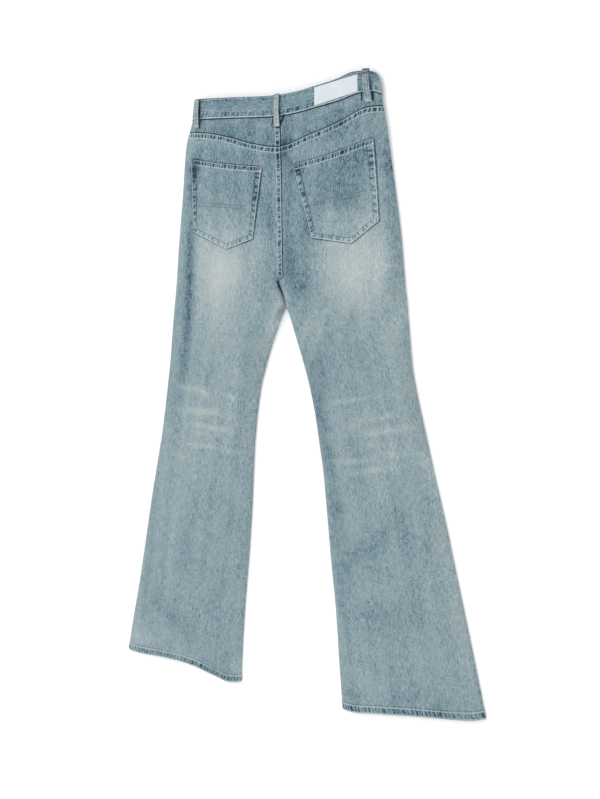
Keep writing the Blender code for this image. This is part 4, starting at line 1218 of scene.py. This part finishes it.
def backSurface(x, y):
    # the outer face of the back at any place outside the pockets
    x, y = np.broadcast_arrays(np.asarray(x, dtype=float), np.asarray(y, dtype=float))
    below = np.where(y > yokeLine(x), panelHeight(x, y, "yoke"), panelHeight(x, y, "leg"))
    return np.where(y > waistLine(x), bandHeightAt(x, y), below)


def hemSurface(word, side):
    # the outer face of a hem, over its back
    def height(x, y):
        rise = y - hemLineAt(side, x, y)
        folds = pucker("hem_" + word, (x - edgesAt(side, y)[0]) * side, rise / hems["stitchAt"])
        return topHeight(x, y) + hemOffset(rise) + folds
    return height


def loopSection(across, along, length):
    # a strip felled with two rows: a ridge outside each row, a shallow valley between, rounded edges
    u = np.abs(2.0 * across)
    rounded = np.sqrt(np.clip(1.0 - u ** 7, 0.0, 1.0))
    ridges = loops["ridge"] * (np.exp(-((u - 0.78) / 0.20) ** 2) - 0.5 * np.exp(-((u - 0.48) / 0.14) ** 2))
    ends = np.minimum(along, 1.0 - along) * length
    turned = loops["turned"] * (1.0 - ease(loops["turnedEnd"] - 0.001, loops["turnedEnd"] + 0.001, ends))
    tip = np.sqrt(np.clip(ends / loops["tip"] + 0.15, 0.0, 1.0))
    wave = np.sin(2 * np.pi * (along * length / loops["crumplePitch"] + 0.3 * across))
    crumple = loops["crumple"] * wave * (1.0 - 0.5 * u)
    thick = loops["thickness"] * 0.8 + turned + ridges + crumple
    return thick * (0.25 + 0.75 * rounded) * (0.4 + 0.6 * tip)


def loopCurve(name, across, along):
    # place of a point of a back loop and the height of its under side
    x, top, bottom, lean, width = loops["back"][name]
    placeX = x + lean * along + across * width
    placeY = top + (bottom - top) * along + 0.0 * across
    onBand = ease(-0.004, 0.003, placeY - waistLine(placeX))
    arch = loops["arch"] * np.sin(np.pi * np.clip(along, 0.0, 1.0)) ** 0.8
    under = topHeight(placeX, placeY, fine=False) + onBand * form["bandProud"] + loops["base"] + arch
    return placeX, placeY, under


def loopColumns():
    return 0.5 * np.sin(np.linspace(-0.5, 0.5, loops["columns"]) * np.pi)[None, :]


def makeBackLoops():
    rows = np.unique(np.r_[np.linspace(0.0, 1.0, loops["rows"] + 1), 0.012, 0.035, 0.965, 0.988])[:, None]
    across = loopColumns()
    for name, (x, top, bottom, _, width) in loops["back"].items():
        length = top - bottom
        placeX, placeY, under = loopCurve(name, across, rows)
        inner = np.stack([placeX, placeY, under], axis=-1)
        outer = inner + gridNormals(inner) * loopSection(across, rows, length)[..., None]
        grain = np.stack([across * width + 0.21 + x + 0.0 * rows, placeY, 0.0 * placeX], axis=-1)
        # rubbed lines along it, painted shade on both edges, heavier on the right away from the light, a pale
        # turned end and painted shade at its top
        base, strength, spacing, topShade = loops["worn"][name]
        worn = (base + strength * np.cos(4.0 * np.pi * across / spacing) - 0.80 * (2 * across > 0.94)
                - 0.50 * (2 * across < -0.96) + 0.20 * ease(0.92, 0.97, rows)
                - topShade * (1.0 - ease(0.08, 0.26, rows)))
        fields = {"grain": grain, "washShade": np.stack([worn, 0.3 * worn, 0.0 * worn], axis=-1),
                  "ropeA": ropeField(rows * length, 0.5 + 0.9 * across, 0.35), "ropeB": noRope(placeX)}
        loop = makeWall("loop_" + name + "_cloth", outer, inner, fields, paints["loop"])
        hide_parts("loop_" + name)


def makeFrontLoops():
    across = loopColumns()
    rows = np.linspace(0.0, 1.0, loops["frontRows"])[:, None]
    for name, middle in loops["front"].items():
        low = float(frontWaistLine(np.array(middle))) - 0.010
        x = middle + across * loops["width"] + 0.0 * rows
        y = low + loops["length"] * rows + 0.0 * across
        thick = loopSection(across, rows, loops["length"])
        flatSide = np.stack([x, y, 0.0 * x], axis=-1)
        upper = np.stack([x, y, np.minimum(thick, loops["thickness"])], axis=-1)
        worn = 0.10 * np.exp(-((np.abs(2 * across) - 0.82) / 0.16) ** 2)
        fields = {"grain": flatSide + np.array([0.3, 0.0, 0.0]), "washShade": ropeField(worn, 0.0 * rows, 0.0),
                  "ropeA": noRope(y), "ropeB": noRope(y)}
        loop = makeWall("loop_" + name + "_cloth", flatSide, upper, fields, paints["loop"])
        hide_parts("loop_" + name)


makeBackLoops()
makeFrontLoops()
print("loops ready")

label = {
    # from the lower left corner, round
    "corners": ((0.0742, 0.4922), (0.1542, 0.5074), (0.1537, 0.5348), (0.0745, 0.5218)),
    "thickness": 0.0012, "edge": 0.0011, "colour": (0.585, 0.628, 0.656), "darkest": 0.93, "palest": 1.05,
    "clouds": 45.0, "marks": 420.0, "pebbles": 950.0, "roughness": (0.48, 0.62), "relief": 0.0002,
}


def makeLeather():
    # pale coated leather with a fine pebble and faint handling marks
    paint, tree, shader = newPaint("paleLeather")
    place = objectPlace(tree)
    cells = tree.nodes.new("ShaderNodeTexVoronoi")
    cells.inputs["Scale"].default_value = label["pebbles"]
    tree.links.new(place, cells.inputs["Vector"])
    clouds = addNoise(tree, place, label["clouds"], detail=3.0)
    marks = addNoise(tree, place, label["marks"], detail=3.0)
    tone = plus(tree, addRange(tree, clouds, 0.3, 0.7, 0.0, 0.55, soft=False),
                addRange(tree, marks, 0.3, 0.7, 0.0, 0.45, soft=False))
    mixed = addRamp(tree, tone, (0.0, scaled(label["colour"], label["darkest"])),
                    (1.0, scaled(label["colour"], label["palest"])))
    tree.links.new(mixed, shader.inputs["Base Color"])
    rough = addRange(tree, marks, 0.2, 0.8, *label["roughness"], soft=False)
    tree.links.new(rough, shader.inputs["Roughness"])
    height = plus(tree, times(tree, cells.outputs["Distance"], 0.6), times(tree, marks, 0.4))
    addBump(tree, shader, height, label["relief"], 0.5)
    return paint


def makeLabel():
    lowLeft, lowRight, topRight, topLeft = [np.array(p) for p in label["corners"]]
    u = np.unique(np.r_[np.linspace(0.0, 1.0, 33), 0.004, 0.010, 0.018, 0.982, 0.990, 0.996])[None, :, None]
    v = np.unique(np.r_[np.linspace(0.0, 1.0, 13), 0.012, 0.032, 0.056, 0.944, 0.968, 0.988])[:, None, None]
    grid = (lowLeft * (1 - u) + lowRight * u) * (1 - v) + (topLeft * (1 - u) + topRight * u) * v
    x, y = grid[..., 0], grid[..., 1]
    width, height = np.linalg.norm(lowRight - lowLeft), np.linalg.norm(topLeft - lowLeft)
    edge = np.minimum(np.minimum(u, 1 - u) * width, np.minimum(v, 1 - v) * height)[..., 0]
    rounded = np.sqrt(1.0 - (1.0 - np.clip(edge / label["edge"], 0.0, 1.0)) ** 2)
    smooth = topHeight(x, y, fine=False) + form["bandProud"] + form["layGap"]
    outer = np.stack([x, y, smooth + label["thickness"] * (0.35 + 0.65 * rounded)], axis=-1)
    inner = np.stack([x, y, np.minimum(bandHeightAt(x, y) + 0.0001, smooth + 0.0002)], axis=-1)
    none = np.zeros(grid.shape[:2] + (3,))
    patch = makeWall("label_patch_leather", outer, inner, {"grain": none}, makeLeather())
    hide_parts("label_patch")


makeLabel()
print("label ready")

sewing = {
    "pitch": 0.0034, "length": 0.0026, "radius": 0.00027, "sunk": 0.00012,
    # where the two rows of a seam lie: from its line, and for the waist from its foot and its top
    "yoke": (0.0017, 0.0088), "seat": (0.0016, 0.0084), "waist": (0.0020, 0.0022),
    "foldClear": 0.0016,
    "warm": (39, 47),                                  # where the right hem's warmer thread starts and ends
    "pocketRow": 0.0016, "belowMouth": 0.0020, "mouthClear": 0.0018, "belowBand": 0.0004,
    "tackRows": (0.0018, 0.0038, 0.0058), "tackLength": 0.0090,
    # ends of the plain rows, as shares across and down the pocket, and how far apart the two are
    "plainEnds": ((0.14, 0.565), (0.87, 0.60)), "plainApart": 0.0052,
    "loopRows": (-0.25, 0.25), "loopEnd": 0.0042, "loopTackLength": 0.0080, "loopTackAside": 0.00055,
    # pitch, length and radius of the stitches that differ
    "tack": (0.00080, 0.00070, 0.00042), "plain": (0.0032, 0.0031, 0.00050),
    "loop": (0.0030, 0.0025, 0.00034), "loopTack": (0.0011, 0.0011, 0.00042),
}


def evenly(path, pitch):
    # places and directions of the stitches along a path of x, y points
    path = np.asarray(path, dtype=float)
    run = runLength(path)
    count = max(1, int(run[-1] / pitch))
    at = (np.arange(count) + 0.5) * run[-1] / count
    place, before, after = [np.stack([np.interp(at + d * pitch, run, path[:, k]) for k in (0, 1)], axis=-1)
                            for d in (0.0, -0.4, 0.4)]
    ahead = after - before
    return place, ahead / np.maximum(np.linalg.norm(ahead, axis=1, keepdims=True), 1e-9)


def sewStitches(place, ahead, heightOf, length, radius):
    # small humped stitches whose ends dive into the cloth
    t = np.array([-1.0, -0.72, 0.0, 0.72, 1.0])
    girth = np.array([0.45, 0.92, 1.0, 0.92, 0.45])
    dive = np.array([-1.3, -0.1, 0.25, -0.1, -1.3]) * radius
    normal = upwardNormal(heightOf, place[:, 0], place[:, 1])
    height = heightOf(place[:, 0], place[:, 1]) - sewing["sunk"] + 0.5 * radius
    centre = np.stack([place[:, 0], place[:, 1], height], axis=-1)
    forward = np.concatenate([ahead, np.zeros((len(ahead), 1))], axis=1)
    forward -= normal * np.sum(forward * normal, axis=1, keepdims=True)
    forward /= np.linalg.norm(forward, axis=1, keepdims=True)
    aside = np.cross(normal, forward)
    angle = np.arange(6) * np.pi / 3
    spine = (centre[:, None] + forward[:, None] * (t * length / 2)[None, :, None]
             + normal[:, None] * dive[None, :, None])
    ring = (aside[:, None, None] * np.cos(angle)[None, None, :, None] * 1.25
            + normal[:, None, None] * np.sin(angle)[None, None, :, None] * 0.85)
    points = spine[:, :, None] + ring * (girth * radius)[None, :, None, None]
    return points.reshape(-1, 3)


def makeStitches(name, rows, paint):
    # rows: path, height of the cloth, and own pitch, length and radius where they differ
    points = []
    for path, heightOf, *own in rows:
        pitch, length, radius = own or (sewing["pitch"], sewing["length"], sewing["radius"])
        points.append(sewStitches(*evenly(path, pitch), heightOf, length, radius))
    points = np.concatenate(points)
    k = np.arange(6)
    side = np.stack([k, (k + 1) % 6, (k + 1) % 6 + 6, k + 6], axis=-1)
    one = [tuple(face) for r in range(4) for face in (side + 6 * r).tolist()]
    one += [tuple(range(5, -1, -1)), tuple(range(24, 30))]
    faces = [tuple(v + 30 * n for v in face) for n in range(len(points) // 30) for face in one]
    mesh = bpy.data.meshes.new(name)
    mesh.from_pydata(points.tolist(), [], faces)
    mesh.shade_smooth()
    piece = placePiece(name, mesh, paint)


def beside(line, low, high, drop, count=160):
    # a row that follows a seam line at a distance, as far as the folded edges
    x = np.linspace(low, high, count)
    y = line(x) + drop
    clear = sewing["foldClear"]
    kept = (x > outlineAt("left", y) + clear) & (x < outlineAt("right", y) - clear)
    return np.stack([x, y], axis=-1)[kept]


def sewSeams():
    legTop = lambda x, y: panelHeight(x, y, "leg")
    rows = [(beside(yokeLine, -0.21, 0.21, -d), legTop) for d in sewing["yoke"]]
    makeStitches("yokeStitches", rows, paints["seamThread"])
    y = np.linspace(0.213, 0.480, 120)
    rows = [(np.stack([centreAt(y) - d, y], axis=-1), backSurface) for d in sewing["seat"]]
    makeStitches("seatStitches", rows, paints["seamThread"])
    atFoot, atTop = sewing["waist"]
    rows = [(beside(waistLine, -0.20, 0.20, d), bandHeightAt) for d in (atFoot, form["bandHeight"] - atTop)]
    makeStitches("waistStitches", rows, paints["seamThread"])
    share = np.linspace(0.006, 0.994, 160)
    first, last = sewing["warm"]
    for word, side in sides:
        y = lineAt(hemLines[side], share) + hems["stitchAt"]
        inner, outer = edgesAt(side, y)
        row, surface = np.stack([inner + (outer - inner) * share, y], axis=-1), hemSurface(word, side)
        # a few stitches of the right hem are in a warmer thread
        rows = [(piece, surface) for piece in ([row] if side < 0 else [row[:first], row[last:]])]
        makeStitches("hemStitches" + word.title(), rows, paints["seamThread"])
        if side > 0:
            makeStitches("hemStitchesWarm", [(row[first:last], surface)], paints["warmThread"])


def rowInside(word, widths):
    # a pocket's sewn edge moved in by the widths at both ends of each edge
    path = pocketPath(word)
    middle = np.mean(path, axis=0)
    lines = []
    for a, b, (atStart, atEnd) in zip(path[:-1], path[1:], widths):
        aside = inward(a, b, middle)
        lines.append((a + aside * atStart, b + aside * atEnd))
    joined = [lines[0][0]]
    for (a, b), (c, d) in zip(lines[:-1], lines[1:]):
        joined.append(a + (b - a) * np.cross(c - a, d - c) / np.cross(b - a, d - c))
    return joined + [lines[-1][1]]


def sewPockets():
    inset, clear = sewing["pocketRow"], sewing["mouthClear"]
    for word, side in sides:
        title = word.title()
        top = lambda x, y, word=word: pocketHeight(word, x, y)
        mouthAt = lambda x, word=word: pocketMouth(word, x)
        outerRow, innerRow = rowInside(word, ((inset, inset),) * 4), rowInside(word, pocketLook["bands"])
        # both start and end just below the mouth
        for row in (outerRow, innerRow):
            for k, near in ((0, 1), (-1, -2)):
                drop = row[k][1] - float(mouthAt(row[k][0])) + sewing["belowMouth"]
                row[k] = row[k] + (row[near] - row[k]) * drop / (row[k][1] - row[near][1])
        low, high = sorted((pockets[word]["topInner"][0], pockets[word]["topOuter"][0]))
        mouthRows = [(beside(mouthAt, low + clear, high - clear, -d), top)
                     for d in (inset, pocketLook["mouthBand"] + sewing["belowBand"])]
        makeStitches("pocketStitches" + title, [(outerRow, top)] + mouthRows, paints["seamThread"])
        makeStitches("pocketInner" + title, [(innerRow, top)], paints["blueThread"])
        # the tacks that hold the mouth's corners: short strands side by side, one of them worn pale
        for end, x, lean in (("Low", low + inset, 1), ("High", high - inset, -1)):
            run = np.array([x, x + sewing["tackLength"] * lean])
            tacks = [(np.stack([run, mouthAt(run) - d], axis=-1), top, *sewing["tack"])
                     for d in sewing["tackRows"]]
            worn = side > 0 and end == "High"
            makeStitches("pocketTacks" + title + end, tacks, paints["seamThread" if worn else "tackThread"])
        # two plain rows across the pocket
        ends = [pocketGrid(word, *np.array(place)[:, None])[0, 0] for place in sewing["plainEnds"]]
        rows = [([place + np.array([0.0, d]) for place in ends], top, *sewing["plain"])
                for d in (0.0, sewing["plainApart"])]
        makeStitches("pocketRows" + title, rows, paints["tanThread"])


def sewLoops():
    rows, tacks = [], []
    share = np.linspace(0.03, 0.97, 40)
    for name, (x, top, bottom, lean, width) in loops["back"].items():
        length = top - bottom

        def onLoop(px, py, name=name, x=x, top=top, length=length, lean=lean, width=width):
            along = (top - py) / length
            side = (px - x - lean * along) / width
            return loopCurve(name, side, along)[2] + loopSection(side, along, length)

        for side in sewing["loopRows"]:
            path = np.stack([x + lean * share + side * width, top - length * share], axis=-1)
            rows.append((path, onLoop, *sewing["loop"]))
        reach, aside = sewing["loopTackLength"], sewing["loopTackAside"]
        for place in (sewing["loopEnd"], length - sewing["loopEnd"]):
            left = x + lean * place / length - reach / 2
            for y in (top - place - aside, top - place + aside):
                tacks.append((np.array([[left, y], [left + reach, y]]), onLoop, *sewing["loopTack"]))
    makeStitches("loopStitches", rows, paints["tanThread"])
    makeStitches("loopTacks", tacks, paints["seamThread"])


sewSeams()
sewPockets()
sewLoops()
print("sewing ready")

fly = {
    "drop": 0.002, "length": 0.160, "shieldWidth": 0.046, "zipWidth": 0.026, "tape": 0.0012, "rows": 48,
    "tooth": (0.0011, 0.0010, 0.0004),                 # width, depth and height
    "toothPitch": 0.0026, "toothAside": 0.0007, "toothTip": 0.6, "toothBevel": 0.00006, "teethFrom": 0.004,
    "tapeColour": (0.20, 0.27, 0.32), "tapeRibs": 900.0, "toothColour": (0.50, 0.45, 0.36),
}
brass = {"wear": 320.0, "darkest": 0.45, "palest": 1.2, "duller": 0.2, "relief": 0.0001}


def flyStrip(width, base, thickness, columns):
    # lower and upper face of a strip that hangs from the front of the waist
    top = float(frontWaistLine(centreAt(form["frontY"]))) - fly["drop"]
    y = (top - fly["length"] * np.linspace(0.0, 1.0, fly["rows"]))[:, None] + np.zeros((1, columns))
    x = centreAt(y) + np.linspace(-0.5, 0.5, columns)[None, :] * width
    lower = np.stack([x, y, liftAt(y) + base], axis=-1)
    return lower, lower + np.array([0.0, 0.0, thickness])


def makeTape():
    # knitted tape: narrow ribs along the zip
    paint, tree, shader = newPaint("zipTape", Roughness=0.85)
    ribs = addNoise(tree, objectPlace(tree), fly["tapeRibs"], (1.0, 0.12, 1.0), detail=1.0)
    mixed = addRamp(tree, ribs, (0.0, scaled(fly["tapeColour"], 0.6)), (1.0, scaled(fly["tapeColour"], 1.3)))
    tree.links.new(mixed, shader.inputs["Base Color"])
    addBump(tree, shader, ribs, 0.0002)
    return paint


def makeBrass(name, colour, roughness):
    # worn brass: handled spots are brighter and smoother, hollows duller
    paint, tree, shader = newPaint(name, Metallic=1.0)
    wear = addNoise(tree, objectPlace(tree), brass["wear"], detail=4.0, rough=0.6)
    mixed = addRamp(tree, wear, (0.3, scaled(colour, brass["darkest"])),
                    (0.7, scaled(colour, brass["palest"])))
    tree.links.new(mixed, shader.inputs["Base Color"])
    rough = addRange(tree, wear, 0.3, 0.7, roughness + brass["duller"], roughness, soft=False)
    tree.links.new(rough, shader.inputs["Roughness"])
    addBump(tree, shader, wear, brass["relief"])
    return paint


def selectFaces(mesh, test):
    bpy.ops.mesh.select_mode(type="FACE")
    bpy.ops.mesh.select_all(action="DESELECT")
    shaped = bmesh.from_edit_mesh(mesh)
    for face in shaped.faces:
        face.select = test(face)
    shaped.select_flush_mode()
    bmesh.update_edit_mesh(mesh)


def makeTooth():
    # a block whose head is set in and narrows to its tip
    wide, deep, high = fly["tooth"]
    bpy.ops.object.select_all(action="DESELECT")
    bpy.ops.mesh.primitive_cube_add(size=1.0, location=(0.0, 0.0, 0.3 * high), scale=(wide, deep, 0.6 * high))
    tooth = bpy.context.object
    tooth.name = "zipTooth"
    bpy.ops.object.transform_apply(location=True, rotation=True, scale=True)
    bpy.ops.object.mode_set(mode="EDIT")
    selectFaces(tooth.data, lambda face: face.normal.z > 0.9)
    bpy.ops.mesh.inset(thickness=0.1 * deep, depth=0.0)
    bpy.ops.mesh.extrude_region_move(TRANSFORM_OT_translate={"value": (0.0, 0.0, 0.4 * high)})
    bpy.ops.transform.resize(value=(fly["toothTip"], fly["toothTip"], 1.0), center_override=(0.0, 0.0, high))
    bpy.ops.mesh.bevel(offset=fly["toothBevel"], segments=1, affect="EDGES")
    bpy.ops.object.mode_set(mode="OBJECT")
    tooth.data.materials.append(makeBrass("toothBrass", fly["toothColour"], 0.35))
    return tooth


def makeTeeth(top):
    # two rows that mesh down the middle of the tape
    tooth = makeTooth()
    pitch = fly["toothPitch"]
    count = int(fly["length"] / pitch) - 2
    for n in range(2 * count):
        side = 1 if n % 2 else -1
        y = top - fly["teethFrom"] - (n // 2 + 0.25 * (side + 1)) * pitch
        seat = float(liftAt(y)) + form["cloth"] + form["layGap"] + 0.6 * fly["tape"]
        copied = bpy.data.objects.new("zipTooth", tooth.data.copy())
        copied.data.transform(Matrix.Translation((float(centreAt(y)) + side * fly["toothAside"], y, seat)))
        scene.collection.objects.link(copied)
        copied.select_set(True)
    tooth.select_set(False)
    bpy.context.view_layer.objects.active = copied
    bpy.ops.object.join()
    copied.name = "zipTeeth"
    bpy.data.objects.remove(tooth)
    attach(copied, "root")


def makeFly():
    lower, upper = flyStrip(fly["zipWidth"], form["cloth"] + form["layGap"], fly["tape"] * 0.75, 13)
    tape = makeWall("fly_zip_tape", upper, lower, {"grain": np.zeros(lower.shape)}, makeTape())
    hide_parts("fly_zip")
    makeTeeth(float(upper[0, 0, 1]))

    base = form["cloth"] + fly["tape"] + form["layGap"] + form["seamGap"]
    lower, upper = flyStrip(fly["shieldWidth"], base, form["cloth"], 19)
    fields = {"grain": lower, "washShade": np.zeros(lower.shape), "ropeA": noRope(lower[..., 0]),
              "ropeB": noRope(lower[..., 0])}
    shield = makeWall("fly_shield_cloth", upper, lower, fields, paints["denim"])
    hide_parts("fly_shield")


makeFly()
print("fly ready")

button = {
    "radius": 0.0085, "height": 0.0024, "aside": 0.014, "colour": (0.55, 0.47, 0.33), "bevel": 0.00018,
    # widths from the rim inwards, the dish's depth, the share its middle rises again, and the shank
    "rim": 0.0016, "slope": 0.0005, "dishWidth": 0.0034, "dish": 0.0005, "middle": 0.6,
    "shank": 0.0032, "shankRadius": 0.0032,
}


def makeButton():
    bpy.ops.object.select_all(action="DESELECT")
    x = float(centreAt(form["frontY"])) - button["aside"]
    y = float(frontWaistLine(centreAt(form["frontY"]))) + form["bandHeight"] / 2
    high = button["height"]
    place = (x, y, high / 2)
    bpy.ops.mesh.primitive_cylinder_add(vertices=48, radius=button["radius"], depth=high, location=place)
    disc = bpy.context.object
    disc.name = "waistButton"
    bpy.ops.object.transform_apply(location=True, rotation=True, scale=True)
    bpy.ops.object.mode_set(mode="EDIT")
    # the face is under the garment: a rim round a shallow dish with a raised middle
    selectFaces(disc.data, lambda face: face.normal.z < -0.9)
    bpy.ops.mesh.inset(thickness=button["rim"], depth=0.0)
    bpy.ops.mesh.inset(thickness=button["slope"], depth=-button["dish"])
    bpy.ops.mesh.inset(thickness=button["dishWidth"], depth=0.0)
    bpy.ops.mesh.inset(thickness=button["slope"], depth=button["dish"] * button["middle"])
    # the shank stands up into the band
    selectFaces(disc.data, lambda face: face.normal.z > 0.9)
    bpy.ops.mesh.inset(thickness=button["radius"] - button["shankRadius"], depth=0.0)
    bpy.ops.mesh.extrude_region_move(TRANSFORM_OT_translate={"value": (0.0, 0.0, button["shank"] - high)})
    bpy.ops.mesh.select_all(action="SELECT")
    bpy.ops.mesh.normals_make_consistent(inside=False)
    bpy.ops.object.mode_set(mode="OBJECT")
    soft = disc.modifiers.new("softEdges", "BEVEL")
    soft.width = button["bevel"]
    soft.segments = 3
    soft.limit_method = "ANGLE"
    bpy.ops.object.modifier_apply(modifier=soft.name)
    bpy.ops.object.shade_smooth_by_angle(angle=math.radians(35))
    disc.data.materials.clear()
    disc.data.materials.append(makeBrass("buttonBrass", button["colour"], 0.30))
    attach(disc, "root")
    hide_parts("waist_button")


makeButton()
print("button ready")
